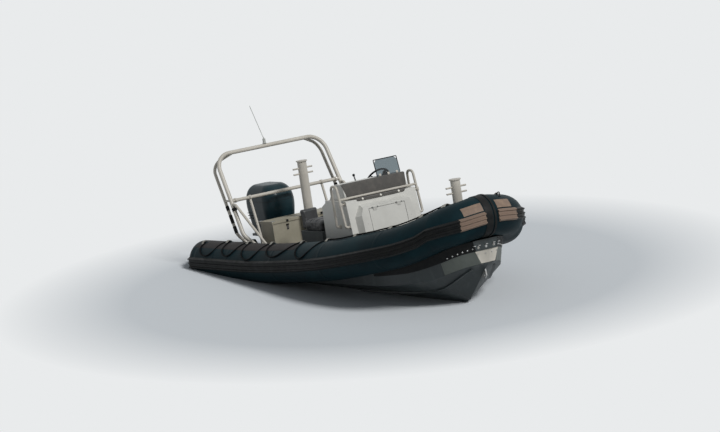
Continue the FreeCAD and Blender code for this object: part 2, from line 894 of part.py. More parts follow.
def locker_space():
    """Inside of the locker, which reaches back into the console."""
    outline = [
        (locker_back_x, door_low_z), (console_x(door_low_z) + 2 * locker_reach, door_low_z),
        (console_x(door_high_z) + 2 * locker_reach, door_high_z), (locker_back_x, door_high_z),
    ]
    return side_plate(outline, -door_half_width, door_half_width)


def make_locker():
    """Tapered surround of the locker's opening, with cut upper corners."""
    low_z = deck_top_z + seam
    base = locker_section(seam, [(LOCKER_BASE[0][0], low_z)] + LOCKER_BASE)
    front = locker_section(locker_reach, [(LOCKER_FRONT[0][0], low_z)] + LOCKER_FRONT)
    return Part.makeLoft([base, front], True, True).cut(locker_space())


def door_hinge():
    """Hinge line above the locker's opening."""
    z = door_high_z + hinge_rise
    return V(console_x(z) + locker_reach + hinge_stand_off, 0, z)


def make_door():
    """Top-hinged door, flush with the locker's front."""
    low_z = door_low_z + door_gap
    high_z = door_high_z - door_gap
    outline = []
    for z, reach in ((low_z, locker_reach), (high_z, locker_reach),
                     (high_z, locker_reach - door_thickness), (low_z, locker_reach - door_thickness)):
        outline.append((console_x(z) + reach, z))
    door = side_plate(outline, -door_half_width + door_gap, door_half_width - door_gap)
    hinge = door_hinge()
    leaf_z = hinge.z - leaf_length
    face_x = console_x(leaf_z) + locker_reach
    leaf_outline = [
        (face_x - 1, leaf_z), (face_x + hinge_r - 2, leaf_z), (hinge.x + hinge_r - 3, hinge.z - 2),
        (hinge.x - hinge_r + 2, hinge.z - 2),
    ]
    for y in (-hinge_y - hinge_length / 2, hinge_y - hinge_length / 2):
        leaf = side_plate(leaf_outline, y, y + hinge_length)
        door = door.fuse(knuckle(V(hinge.x, y, hinge.z), leaf))
    return door


def make_door_hinges():
    """Pins and lugs of the locker door, fixed above its opening."""
    hinge = door_hinge()
    low_x = console_x(hinge.z - hinge_r) + locker_reach + seam
    hinges = []
    for middle in (-hinge_y, hinge_y):
        fixed = hinge_pin(V(hinge.x, middle, hinge.z))
        for y in lug_places(middle):
            fixed = fixed.fuse(box((low_x, y, hinge.z - hinge_r),
                                   (hinge.x + hinge_r, y + lug_length, hinge.z + hinge_r)))
        hinges.append(fixed)
    return Part.Compound(hinges)


def make_cover():
    """Canvas cover on the hood's sloping front."""
    low = V(hood_front_low_x, 0, hood_break_z)
    top = V(hood_front_top_x, 0, console_top_z)
    slope = top - low
    normal = V(slope.z, 0, -slope.x)
    normal.normalize()
    low = low + normal * seam
    top = top + normal * seam
    points = [low - V(0, cover_low_half, 0), low + V(0, cover_low_half, 0),
              top + V(0, cover_top_half, 0), top - V(0, cover_top_half, 0)]
    return Part.Face(polygon(points)).extrude(normal * cover_thickness)


def make_rails():
    sides = []
    for side in (-1, 1):
        y = side * rail_y
        stand = side * (console_half_width + seam)
        points = [
            V(rail_front_foot_x, stand, rail_foot_z), V(rail_front_foot_x, y, rail_foot_z),
            V(rail_front_top_x, y, console_top_z), V(rail_aft_top_x, y, console_top_z),
            V(rail_aft_foot_x, y, rail_foot_z), V(rail_aft_foot_x, stand, rail_foot_z),
        ]
        sides.append(bent_tube(points, [rail_foot_bend_r, rail_bend_r, rail_bend_r, rail_foot_bend_r], rail_r))
    share = (rail_cross_z - rail_foot_z) / (console_top_z - rail_foot_z)
    cross_x = rail_front_foot_x + share * (rail_front_top_x - rail_front_foot_x)
    cross = rod(V(cross_x, -rail_y, rail_cross_z), V(cross_x, rail_y, rail_cross_z), rail_r - 1)
    for side in sides:
        cross = cross.cut(side)
    return Part.Compound(sides), cross


def make_windscreen():
    corner = screen_height / 5
    outline = [
        (screen_inner_y, 0), (screen_outer_y, 0), (screen_outer_y, screen_height - corner),
        (screen_outer_y - corner, screen_height), (screen_inner_y + corner, screen_height),
        (screen_inner_y, screen_height - corner),
    ]
    face = Part.Face(polygon([V(0, y, z) for y, z in outline]))
    panel = face.extrude(V(screen_thickness, 0, 0))
    panel.rotate(V(0, 0, 0), V(0, 1, 0), -screen_lean)
    panel.translate(V(hood_front_top_x - screen_setback, 0, console_top_z + seam))
    return panel


# Helm
def helm_axis():
    """Centre of the dash where the steering shaft comes out, and the shaft's direction."""
    low = V(dash_low_x, helm_y, dash_low_z)
    high = V(hood_aft_x, helm_y, console_top_z)
    slope = high - low
    normal = V(-slope.z, 0, slope.x)
    normal.normalize()
    return (low + high) * 0.5, normal


def make_helm_hub():
    foot, normal = helm_axis()
    boss = Part.makeCylinder(helm_boss_r, helm_boss_length, foot + normal * seam, normal)
    return boss.fuse(Part.makeCylinder(shaft_r, wheel_stand_off, foot + normal * seam, normal))


def make_wheel():
    foot, normal = helm_axis()
    centre = foot + normal * wheel_stand_off
    rim_ring = Part.makeTorus(wheel_r, wheel_rim_r, centre, normal)
    hub = Part.makeCylinder(wheel_hub_r, wheel_hub_length, centre - normal * wheel_hub_length / 2, normal)
    bore = Part.makeCylinder(shaft_r + running, wheel_r, centre - normal * wheel_r / 2, normal)
    across = V(0, 1, 0)
    wheel = rim_ring.fuse(hub)
    for turn in wheel_spoke_turns:
        spoke = FreeCAD.Rotation(normal, turn).multVec(across)
        inner = centre + spoke * (wheel_hub_r - wheel_spoke_r)
        wheel = wheel.fuse(rod(inner, centre + spoke * wheel_r, wheel_spoke_r))
    return wheel.cut(bore)


def make_throttle():
    foot, normal = helm_axis()
    base = V(foot.x, throttle_y, foot.z) + normal * seam
    housing_r, housing_length = throttle_housing
    housing = Part.makeCylinder(housing_r, housing_length, base, normal)
    lever_foot = base + normal * throttle_lever_foot
    lever_top = lever_foot + V(*throttle_lever_run)
    lever = rod(lever_foot, lever_top, throttle_lever_r)
    knob = Part.makeSphere(throttle_knob_r, lever_top)
    return housing.fuse(lever).fuse(knob)


# Seats
def make_seat():
    low_z = deck_top_z + seam
    pod_outline = [
        (seat_aft_x, low_z), (seat_front_x - seat_toe[0], low_z),
        (seat_front_x, seat_pod_top_z - seat_toe[1]),
        (seat_front_x, seat_pod_top_z), (seat_aft_x, seat_pod_top_z),
    ]
    inner = seat_y - seat_half_width
    outer = seat_y + seat_half_width
    pod = side_plate(pod_outline, -outer, -inner)
    cushion_low = seat_pod_top_z + seam
    cushion = box((seat_aft_x + back_thickness + 2, -outer, cushion_low),
                  (seat_front_x, -inner, cushion_low + cushion_thickness))
    upper_edges = [edge for edge in cushion.Edges if edge.CenterOfMass.z > cushion_low + 1]
    cushion = cushion.makeFillet(cushion_round, upper_edges)
    back_outline = [
        (seat_aft_x, cushion_low), (seat_aft_x + back_thickness, cushion_low),
        (seat_aft_x + back_thickness - back_lean, back_top_z), (seat_aft_x - back_lean, back_top_z),
    ]
    back = side_plate(back_outline, -outer + back_inset, -inner - back_inset)
    return pod, cushion, back


def make_aft_box():
    """Locker between the engine and the aft post, with the fixed half of its lid's hinges."""
    aft_x, front_x = aft_box_x
    half = aft_box_half_width
    lid_z = aft_box_top_z - lid_thickness
    body = box((aft_x, -half, deck_top_z + seam), (front_x, half, lid_z - seam))
    hinge = lid_hinge()
    for middle in (-lid_hinge_y, lid_hinge_y):
        body = body.fuse(hinge_pin(V(hinge.x, middle, hinge.z)))
        for y in lug_places(middle):
            body = body.fuse(box((hinge.x - hinge_r, y, lid_z - lid_lug_drop),
                                 (hinge.x + hinge_pin_r + 1, y + lug_length, hinge.z + hinge_r - 1)))
            body = body.fuse(box((hinge.x - hinge_r, y, lid_z - lid_lug_drop),
                                 (aft_x + 1, y + lug_length, lid_z - lid_lug_drop / 4)))
    return body


def lid_hinge():
    """Hinge line behind the aft locker's lid."""
    lid_z = aft_box_top_z - lid_thickness
    return V(aft_box_x[0] - lid_overhang - lid_hinge_stand_off, 0, lid_z + lid_hinge_rise)


def make_aft_lid():
    aft_x, front_x = aft_box_x
    half = aft_box_half_width + lid_overhang
    hinge = lid_hinge()
    lid = box((aft_x - lid_overhang, -half, aft_box_top_z - lid_thickness),
              (front_x + lid_overhang, half, aft_box_top_z))
    for y in (-lid_hinge_y - hinge_length / 2, lid_hinge_y - hinge_length / 2):
        leaf = box((hinge.x, y, hinge.z - hinge_pin_r), (aft_x, y + hinge_length, hinge.z + hinge_r))
        start = V(hinge.x, y, hinge.z)
        lid = lid.fuse(knuckle(start, leaf))
    return lid


# Outboard engine
def make_engine_clamp():
    """Two side plates with the tilt tube, hooked over the transom."""
    hook_z = transom_top_z + seam
    hook_x = transom_thickness + clamp_hook[0]
    hook_low_z = transom_top_z - clamp_hook[1]
    outline = [
        (-seam, clamp_low_z), (clamp_toe_x, clamp_low_z), clamp_heel,
        (tilt_x - 1.5 * clamp_head, tilt_z), (tilt_x - 0.5 * clamp_head, tilt_z + clamp_head),
        (hook_x, tilt_z + clamp_head), (hook_x, hook_low_z), (transom_thickness + seam, hook_low_z),
        (transom_thickness + seam, hook_z), (-seam, hook_z),
    ]
    half = clamp_y + tilt_tube_reach
    clamp = rod(V(tilt_x, -half, tilt_z), V(tilt_x, half, tilt_z), tilt_tube_r)
    for side in (-1, 1):
        inner = side * (clamp_y - clamp_thickness)
        plate = side_plate(outline, min(inner, side * clamp_y), max(inner, side * clamp_y))
        clamp = clamp.fuse(plate)
    return clamp


def make_swivel():
    """Barrel for the steering pin, carried by the tilt tube."""
    barrel = Part.makeCylinder(steer_barrel_r, barrel_high_z - barrel_low_z, V(steer_x, 0, barrel_low_z))
    reach = V(0, swivel_half_width, 0)
    tilt_middle = V(tilt_x, 0, tilt_z)
    tilt_boss = rod(tilt_middle - reach, tilt_middle + reach, tilt_boss_r)
    web_outline = [
        (steer_x, barrel_low_z + tilt_boss_r), (steer_x + 2 * tilt_boss_r, barrel_low_z + tilt_boss_r),
        (tilt_x, tilt_z - tilt_boss_r), (tilt_x, tilt_z), (steer_x, barrel_high_z - tilt_boss_r),
    ]
    web = side_plate(web_outline, -swivel_web_half, swivel_web_half)
    body = barrel.fuse(tilt_boss).fuse(web)
    body = body.cut(rod(tilt_middle - 2 * reach, tilt_middle + 2 * reach, tilt_tube_r + running))
    pin_space = Part.makeCylinder(steer_pin_r + running, 2 * beyond, V(steer_x, 0, -beyond))
    return body.cut(pin_space)


def make_leg():
    """Steering pin, upper and lower yokes and the leg down to the plate."""
    pin_low = barrel_low_z - yoke_thickness
    pin = Part.makeCylinder(steer_pin_r, barrel_high_z + yoke_thickness - pin_low, V(steer_x, 0, pin_low))
    leg_outline = [
        (leg_front_x, cowl_low_z - seam), (leg_aft_x, cowl_low_z - seam), (leg_aft_x + leg_rake, plate_z),
        (leg_front_x - leg_rake / 4, plate_z),
    ]
    leg = side_plate(leg_outline, -leg_half_width, leg_half_width)
    body = leg.fuse(pin)
    for low in (pin_low, barrel_high_z + seam):
        yoke = box((leg_front_x - yoke_half_width / 2, -yoke_half_width, low),
                   (steer_x, yoke_half_width, low + yoke_thickness - seam))
        eye = Part.makeCylinder(yoke_half_width, yoke_thickness - seam, V(steer_x, 0, low))
        body = body.fuse(yoke).fuse(eye)
    tray_half = cowl_half_width - tray_inset[1]
    tray = box((cowl_aft_x + tray_inset[0], -tray_half, cowl_low_z - tray_thickness),
               (tilt_x - 1.5 * tilt_boss_r, tray_half, cowl_low_z - seam))
    half_width, half_thickness = plate_half
    plate = box((leg_aft_x - plate_reach[0], -half_width, plate_z - half_thickness),
                (leg_front_x + plate_reach[1], half_width, plate_z + half_thickness))
    return body.fuse(tray).fuse(plate)


def cowl_section(z, inset):
    """Rounded outline of the cowl at a height, drawn in by an inset."""
    front = cowl_front_x - inset
    aft = cowl_aft_x + inset * 0.8
    half = cowl_half_width - inset * 0.7
    r_front = half * 0.75
    r_aft = half * 0.55
    k = sqrt(0.5)
    edges = []
    corners = [
        (front - r_front, -half + r_front, r_front, -1, 1), (front - r_front, half - r_front, r_front, 1, 1),
        (aft + r_aft, half - r_aft, r_aft, 1, -1), (aft + r_aft, -half + r_aft, r_aft, -1, -1),
    ]
    points = []
    for x, y, r, side, way in corners:
        along = V(x + way * r, y, z)
        across = V(x, y + side * r, z)
        middle = V(x + way * r * k, y + side * r * k, z)
        first, last = (across, along) if side * way < 0 else (along, across)
        points.append((first, middle, last))
    for (first, middle, last), following in zip(points, points[1:] + points[:1]):
        edges.append(Part.Arc(first, middle, last).toShape())
        edges.append(Part.LineSegment(last, following[0]).toShape())
    return Part.Wire(edges)


def make_cowl():
    """Engine cowl, lofted through rounded outlines that close over the top."""
    rise = cowl_top_z - cowl_low_z
    sections = [cowl_section(cowl_low_z + rise * share, inset) for share, inset in COWL_LEVELS]
    return Part.makeLoft(sections, True, False)


def make_gearcase():
    """Torpedo with its strut and skeg."""
    nose_r = gear_r * 0.7
    outline = [(gear_aft_x, prop_hub_r), (gear_aft_x + 2 * prop_hub_r, gear_r),
               (gear_front_x - 2.4 * gear_r, gear_r), (gear_front_x - nose_r, nose_r)]
    torpedo = domed_spindle(outline, nose_r)
    torpedo.translate(V(0, 0, gear_axis_z))
    strut_top_z = plate_z - plate_half[1] - seam
    strut_outline = [
        (leg_front_x - strut_half / 2, strut_top_z), (leg_aft_x + leg_rake, strut_top_z),
        (leg_aft_x + 1.5 * leg_rake, gear_axis_z), (leg_front_x - leg_rake, gear_axis_z),
    ]
    strut = side_plate(strut_outline, -strut_half, strut_half)
    skeg = side_plate([(leg_aft_x + x, gear_axis_z + z) for x, z in SKEG_OUTLINE], -skeg_half, skeg_half)
    shaft_x = gear_aft_x - prop_hub_length - 2 * prop_shaft_play
    nut_length, nut_r = prop_nut
    shaft = rod(V(gear_aft_x + prop_shaft_play, 0, gear_axis_z), V(shaft_x, 0, gear_axis_z), prop_shaft_r)
    nut = rod(V(shaft_x, 0, gear_axis_z), V(shaft_x - nut_length, 0, gear_axis_z), nut_r)
    return torpedo.fuse(strut).fuse(skeg).fuse(shaft).fuse(nut)


def blade_section(radius, chord, thickness, pitch):
    """Lens-shaped section of a blade, standing across the blade at a radius."""
    half = chord / 2
    front = Part.Arc(V(-half, 0, radius), V(0, thickness, radius), V(half, 0, radius)).toShape()
    back = Part.Arc(V(half, 0, radius), V(0, -1, radius), V(-half, 0, radius)).toShape()
    wire = Part.Wire([front, back])
    wire.rotate(V(0, 0, 0), V(0, 0, 1), pitch)
    return wire


def make_propeller():
    high_x = gear_aft_x - prop_shaft_play
    low_x = high_x - prop_hub_length
    hub = rod(V(low_x, 0, gear_axis_z), V(high_x, 0, gear_axis_z), prop_hub_r)
    blade = Part.makeLoft([blade_section(*row) for row in BLADE_SECTIONS], True, False)
    for index in range(blade_count):
        copy = blade.copy()
        copy.rotate(V(0, 0, 0), V(1, 0, 0), index * 360 / blade_count)
        copy.translate(V(low_x + prop_hub_length * 0.5, 0, gear_axis_z))
        hub = hub.fuse(copy)
    reach = V(prop_hub_length, 0, 0)
    middle = V(low_x + prop_hub_length * 0.5, 0, gear_axis_z)
    return hub.cut(rod(middle - reach, middle + reach, prop_shaft_r + running))


os.makedirs("parts", exist_ok=True)

hull_bottom, hull_topsides = make_hull()
save("hull_bottom", hull_bottom)
save("hull_topsides", hull_topsides)
save("deck", deck_plate(transom_thickness + 2 * seam, bow_step_x - 2 * seam, deck_top_z))
save("bow_deck", deck_plate(bow_step_x + seam, bow_deck_end_x - 2 * seam, bow_deck_z))
transom, knee = make_transom()
save("transom", transom)
save("transom_knees", pair(knee))

for name, tube in zip(("tube_aft", "tube_fore"), make_tubes()):
    save(name + "_starboard", tube)
    save(name + "_port", mirrored(tube))
strake = make_strake()
save("rub_strake_starboard", strake)
save("rub_strake_port", mirrored(strake))
save("nose_bands", make_nose_bands().cut(hull_topsides))
save("chafe_pads", pair(make_chafe_pad()))

save("tube_flanges", pair(side_strip(flange_start_x, 1 - flange_share, 1, flange_skin)))
save("topside_doublers", pair(side_strip(doubler_start_x, 0.02, 0.98 - flange_share, doubler_skin)))
save("spray_rails", pair(make_spray_rail()))
bracket, lugs = make_stem_fitting()
save("stem_bracket", bracket)
save("stem_lugs", lugs)
save("bow_eye", make_bow_eye())

save("aft_post", make_post(aft_post_x, deck_top_z + seam, aft_post_top_z))
save("bow_post", make_post(bow_post_x, bow_deck_z + seam, bow_post_top_z))

arch_hoop, rear_leg, crossbar, stanchion, brace, tie = make_arch()
save("arch_hoop", arch_hoop)
save("arch_rear_legs", pair(rear_leg))
save("arch_crossbar", crossbar)
save("arch_stanchions", pair(stanchion))
save("arch_braces", pair(brace))
save("arch_ties", pair(tie))
save("antenna", make_antenna())

save("console_body", make_console_body())
save("console_locker", make_locker())
save("locker_door", make_door())
save("locker_hinges", make_door_hinges())
save("console_cover", make_cover())
side_rails, cross_rail = make_rails()
save("console_side_rails", side_rails)
save("console_cross_rail", cross_rail)
save("windscreen", make_windscreen())
save("helm_shaft", make_helm_hub())
save("steering_wheel", make_wheel())
save("throttle", make_throttle())

pod, cushion, back = make_seat()
save("seat_pods", pair(pod))
save("seat_cushions", pair(cushion))
save("seat_backrests", pair(back))
save("aft_locker", make_aft_box())
save("aft_locker_lid", make_aft_lid())

save("engine_clamp", make_engine_clamp())
save("swivel_bracket", make_swivel())
save("engine_leg", make_leg())
save("engine_cowl", make_cowl())
save("gear_case", make_gearcase())
save("propeller", make_propeller())
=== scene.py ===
"""Finish of the rigid inflatable boat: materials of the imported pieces, soft parts and small fittings."""

import json
from math import cos, exp, pi, radians, sin, sqrt, tau

import bmesh
import bpy
from mathutils import Matrix, Vector, noise
from mathutils.bvhtree import BVHTree


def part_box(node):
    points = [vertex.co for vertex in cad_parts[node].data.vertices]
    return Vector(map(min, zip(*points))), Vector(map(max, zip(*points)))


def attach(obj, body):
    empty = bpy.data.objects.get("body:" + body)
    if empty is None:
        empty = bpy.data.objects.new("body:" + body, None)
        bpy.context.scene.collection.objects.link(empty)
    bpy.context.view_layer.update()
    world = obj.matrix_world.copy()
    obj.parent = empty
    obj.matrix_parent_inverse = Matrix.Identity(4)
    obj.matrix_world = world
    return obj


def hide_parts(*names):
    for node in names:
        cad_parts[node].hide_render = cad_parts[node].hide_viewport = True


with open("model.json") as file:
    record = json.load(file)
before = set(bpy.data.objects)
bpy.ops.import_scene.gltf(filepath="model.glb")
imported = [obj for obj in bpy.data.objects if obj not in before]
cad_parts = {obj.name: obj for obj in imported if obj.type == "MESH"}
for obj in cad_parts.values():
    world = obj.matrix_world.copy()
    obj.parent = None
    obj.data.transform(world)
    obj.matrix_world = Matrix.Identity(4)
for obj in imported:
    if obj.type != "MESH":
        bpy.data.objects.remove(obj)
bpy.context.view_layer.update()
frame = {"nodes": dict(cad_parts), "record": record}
NODES = frame["nodes"]
AHEAD, UP = Vector((1, 0, 0)), Vector((0, 0, 1))
STARBOARD, PORT = -1, 1
HANDS = {STARBOARD: "starboard", PORT: "port"}

# Camera, fitted to the photograph: about 30 degrees off the starboard bow, heeled with the boat
CAMERA_BACK = Vector((0.8512, -0.5114, 0.1181))
CAMERA_RIGHT = Vector((0.5243, 0.8388, -0.1467))
CAMERA_AIM = Vector((3.05, 0.0, 0.58))
CAMERA_DISTANCE = 49.368
CAMERA_SHIFT = (-0.3914, 0.1776)
CAMERA_LENS = 176.4

# Lights and stage. The boat planes with its bow up, so the water plane it floats on drops forward.
SUN_FROM = Vector((0.78, 0.12, 0.61))
SUN_STRENGTH = 2.6
SUN_ANGLE = 14.0
SKY_TONE = "#E4EAF0"
SKY_LEVEL = 0.3
BACKDROP = "#E9EBEC"
FLOOR_TONE = "#CDD1D4"
FLOOR_RADIUS = 60.0
FLOOR_MIDDLE_X = 2.7
FLOOR_FADES_FROM = 3.6
FLOOR_PLAIN_FROM = 5.5
WATER_LINE_AFT = 0.117
WATER_LINE_SLOPE = -0.105


def linear(code):
    """sRGB hex value as linear RGBA."""
    channels = [int(code[i:i + 2], 16) / 255 for i in (1, 3, 5)]
    return [c / 12.92 if c <= 0.04045 else ((c + 0.055) / 1.055) ** 2.4 for c in channels] + [1.0]


def add(tree, kind, inputs=None, **settings):
    """A shader node with its settings. An input, by name or number, is a value or an output to link."""
    made = tree.nodes.new("ShaderNode" + kind)
    for name, value in settings.items():
        setattr(made, name, value)
    for key, value in (inputs or {}).items():
        if isinstance(value, bpy.types.NodeSocket):
            tree.links.new(value, made.inputs[key])
        else:
            made.inputs[key].default_value = value
    return made


def speckle(tree, where, scale, detail, roughness=0.5):
    """Output of a noise pattern."""
    return add(tree, "TexNoise", {"Vector": where, "Scale": scale, "Detail": detail,
                                  "Roughness": roughness}).outputs["Fac"]


def ramp(tree, value, start, end, least=0.0, most=1.0):
    """Output that goes from the least to the most as a value goes from start to end."""
    return add(tree, "MapRange", {"Value": value, "From Min": start, "From Max": end, "To Min": least,
                                  "To Max": most}).outputs[0]


def emptied(owner):
    """Node tree of a material or world, without its default nodes."""
    owner.use_nodes = True
    owner.node_tree.nodes.clear()
    return owner.node_tree


def stood(name, data):
    """New object in the scene for its data."""
    made = bpy.data.objects.new(name, data)
    bpy.context.scene.collection.objects.link(made)
    return made


# Camera, light and floor
def make_camera():
    """Camera at the photograph's angle."""
    up = CAMERA_BACK.cross(CAMERA_RIGHT)
    across, rise = CAMERA_SHIFT
    place = CAMERA_AIM + CAMERA_BACK * CAMERA_DISTANCE + CAMERA_RIGHT * across + up * rise
    data = bpy.data.cameras.new("photo_camera")
    data.lens = CAMERA_LENS
    data.sensor_width = 36.0
    data.clip_start = 1.0
    data.clip_end = 400.0
    camera = stood("photo_camera", data)
    turn = Matrix((CAMERA_RIGHT, up, CAMERA_BACK)).transposed()
    camera.matrix_world = Matrix.Translation(place) @ turn.to_4x4()
    bpy.context.scene.camera = camera


def make_lights():
    """Soft sun and a dim sky. The camera, reflections and clear pieces see the pale backdrop instead."""
    data = bpy.data.lights.new("sun", "SUN")
    data.energy = SUN_STRENGTH
    data.angle = radians(SUN_ANGLE)
    sun = stood("sun", data)
    sun.rotation_mode = "QUATERNION"
    sun.rotation_quaternion = SUN_FROM.normalized().to_track_quat("Z", "Y")
    world = bpy.data.worlds.new("studio")
    bpy.context.scene.world = world
    tree = emptied(world)
    rays = add(tree, "LightPath").outputs
    seen = rays["Is Camera Ray"]
    for kind in ("Is Glossy Ray", "Is Transmission Ray"):
        seen = add(tree, "Math", {0: seen, 1: rays[kind]}, operation="MAXIMUM").outputs[0]
    sky = add(tree, "Background", {"Color": linear(SKY_TONE), "Strength": SKY_LEVEL})
    backdrop = add(tree, "Background", {"Color": linear(BACKDROP), "Strength": 1.0})
    mix = add(tree, "MixShader", {0: seen, 1: sky.outputs[0], 2: backdrop.outputs[0]})
    add(tree, "OutputWorld", {"Surface": mix.outputs[0]})


def make_floor():
    """Pale plane at the water line, which fades to the backdrop away from the boat."""
    bm = bmesh.new()
    bmesh.ops.create_circle(bm, cap_ends=True, segments=96, radius=FLOOR_RADIUS)
    for vert in bm.verts:
        vert.co.z = WATER_LINE_AFT + WATER_LINE_SLOPE * vert.co.x
    mesh = bpy.data.meshes.new("floor")
    bm.to_mesh(mesh)
    bm.free()
    floor = stood("floor", mesh)
    material = bpy.data.materials.new("pale_floor")
    tree = emptied(material)
    where = add(tree, "TexCoord").outputs["Object"]
    centred = add(tree, "Mapping", {"Vector": where, "Location": (-FLOOR_MIDDLE_X, 0, 0)})
    reach = add(tree, "VectorMath", {0: centred.outputs[0]}, operation="LENGTH")
    fade = ramp(tree, reach.outputs["Value"], FLOOR_FADES_FROM, FLOOR_PLAIN_FROM)
    matt = add(tree, "BsdfDiffuse", {"Color": linear(FLOOR_TONE)})
    plain = add(tree, "Emission", {"Color": linear(BACKDROP), "Strength": 1.0})
    mix = add(tree, "MixShader", {0: fade, 1: matt.outputs[0], 2: plain.outputs[0]})
    add(tree, "OutputMaterial", {"Surface": mix.outputs[0]})
    mesh.materials.append(material)


# Materials. Sizes of patterns are in metres, and a noise or cell pattern's scale is one over its grain.
# Tan of the pads by the nose: a painted warm highlight of sunlight glinting on the rubber, over the rubber's
# own lighter colour
PAD_HIGHLIGHT_TAN = "#77665A"
# Where the pads' tan lies on the strakes: distance from the centre plane, half their width, least X and Z
PAD_MIDDLE_Y, PAD_HALF_Y, PAD_FROM_X, PAD_FROM_Z = 0.28, 0.18, 5.3, 0.6


def surface(name, **sockets):
    """An empty Principled material with its plain sockets set."""
    material = bpy.data.materials.new(name)
    tree = emptied(material)
    shader = add(tree, "BsdfPrincipled", {key.replace("_", " "): value for key, value in sockets.items()})
    add(tree, "OutputMaterial", {"Surface": shader.outputs["BSDF"]})
    return material, tree, shader


def reopened(material):
    """Tree and shader of a made material, for one more layer."""
    tree = material.node_tree
    return tree, next(node for node in tree.nodes if node.type == "BSDF_PRINCIPLED")


def mottled(name, base, patch, patch_size, roughness, specular=0.5, **sockets):
    """Material in two tones in soft patches of a size, with the roughness that goes with each."""
    material, tree, shader = surface(name, Specular_IOR_Level=specular, **sockets)
    where = add(tree, "TexCoord").outputs["Object"]
    mottle = speckle(tree, where, 1 / patch_size, 5.0, 0.6)
    share = ramp(tree, mottle, 0.42, 0.68)
    tone = add(tree, "Mix", {0: share, 6: linear(base), 7: linear(patch)}, data_type="RGBA")
    tree.links.new(tone.outputs[2], shader.inputs["Base Color"])
    tree.links.new(ramp(tree, mottle, 0.35, 0.7, *roughness), shader.inputs["Roughness"])
    return material, tree, shader, where


def raise_grain(tree, shader, height, depth, strength):
    """Relief of a depth in metres from a height pattern."""
    bump = add(tree, "Bump", {"Height": height, "Distance": depth, "Strength": strength})
    tree.links.new(bump.outputs[0], shader.inputs["Normal"])


def overlay(tree, shader, share, code):
    """A second colour laid over the shader's present one by a share."""
    under = shader.inputs["Base Color"].links[0].from_socket
    mix = add(tree, "Mix", {0: share, 6: under, 7: linear(code)}, data_type="RGBA")
    tree.links.new(mix.outputs[2], shader.inputs["Base Color"])


def coated_fabric(name):
    """Tube fabric, synthetic rubber on woven polyester: dark with a faint gloss, dusted on top."""
    material, tree, shader, where = mottled(name, "#0A1B20", "#10272C", 0.6, (0.42, 0.56), 0.05)
    # Salt dust in clouds of 110 mm, more of it the more the fabric faces up
    normal = add(tree, "SeparateXYZ", {0: add(tree, "NewGeometry").outputs["Normal"]})
    dust = speckle(tree, where, 9.0, 8.0, 0.7)
    upward = ramp(tree, normal.outputs["Z"], 0.35, 1.0, 0.0, 0.5)
    share = add(tree, "Math", {0: dust, 1: upward}, operation="MULTIPLY")
    overlay(tree, shader, share.outputs[0], "#263336")
    # Threads are 1 mm apart in the real cloth and too fine to show, so the weave is drawn at 5 mm.
    # The fabric also ripples a little, every 450 mm or so.
    weave = speckle(tree, where, 200.0, 2.0)
    ripple = speckle(tree, where, 2.2, 3.0)
    height = add(tree, "Math", {0: ripple, 1: 14.0, 2: weave}, operation="MULTIPLY_ADD")
    raise_grain(tree, shader, height.outputs[0], 0.0006, 0.5)
    return material


def moulded_rubber(name, base="#0E1011", patch="#1A1B1A", roughness=(0.42, 0.62), grit=0.004):
    """Moulded rubber or plastic, matt, rubbed lighter in patches. Its grit is drawn coarse, to show."""
    material, tree, shader, where = mottled(name, base, patch, 0.09, roughness, 0.12)
    raise_grain(tree, shader, speckle(tree, where, 1 / grit, 3.0), 0.0003, 0.5)
    return material


def sprayed_paint(name, base, patch, roughness, chips="#6E7072", chip_share=0.5, size=0.35):
    """Satin paint sprayed on aluminium: dull patches, chips of 26 mm and faint orange peel of 6 mm."""
    material, tree, shader, where = mottled(name, base, patch, size, roughness)
    spots = speckle(tree, where, 38.0, 4.0, 0.75)
    overlay(tree, shader, ramp(tree, spots, 0.66, 0.72, 0.0, chip_share), chips)
    raise_grain(tree, shader, speckle(tree, where, 160.0, 1.0), 0.0002, 0.35)
    return material


def strake_rubber(name):
    """Black rubber. At the bow, where the pads cross the strakes' ridges, it takes the pads' tan: a painted
    warm highlight of sunlight on the rubber.
    """
    material = moulded_rubber(name)
    tree, shader = reopened(material)
    place = add(tree, "SeparateXYZ", {0: add(tree, "TexCoord").outputs["Object"]})
    abreast = add(tree, "Math", {0: place.outputs["Y"]}, operation="ABSOLUTE")
    inside = add(tree, "Math", {0: abreast.outputs[0], 1: PAD_MIDDLE_Y, 2: PAD_HALF_Y}, operation="COMPARE")
    share = inside.outputs[0]
    for axis, least in (("X", PAD_FROM_X), ("Z", PAD_FROM_Z)):
        beyond = add(tree, "Math", {0: place.outputs[axis], 1: least}, operation="GREATER_THAN")
        share = add(tree, "Math", {0: share, 1: beyond.outputs[0]}, operation="MULTIPLY").outputs[0]
    # Painted warm highlight of sunlight where the pads cross the strakes
    overlay(tree, shader, share, PAD_HIGHLIGHT_TAN)
    return material


def hull_paint(name, base, patch):
    """Hull paint: sprayed satin coat with pale salt streaks, 110 mm wide, that run down from the tube."""
    material = sprayed_paint(name, base, patch, (0.38, 0.55))
    tree, shader = reopened(material)
    where = add(tree, "TexCoord").outputs["Object"]
    tall = add(tree, "Mapping", {"Vector": where, "Scale": (9.0, 9.0, 1.1)})
    streaks = speckle(tree, tall.outputs[0], 1.0, 6.0, 0.65)
    overlay(tree, shader, ramp(tree, streaks, 0.5, 0.8, 0.0, 0.25), "#5A6060")
    return material


def non_slip_paint(name):
    """Deck paint with grit in it. The grit is 1 mm in the real coat, drawn at 8 mm."""
    material, tree, shader, where = mottled(name, "#4B4F4F", "#5B5E5C", 0.3, (0.7, 0.9), 0.4)
    grit = add(tree, "TexVoronoi", {"Vector": where, "Scale": 130.0})
    raise_grain(tree, shader, grit.outputs["Distance"], 0.001, 0.7)
    return material


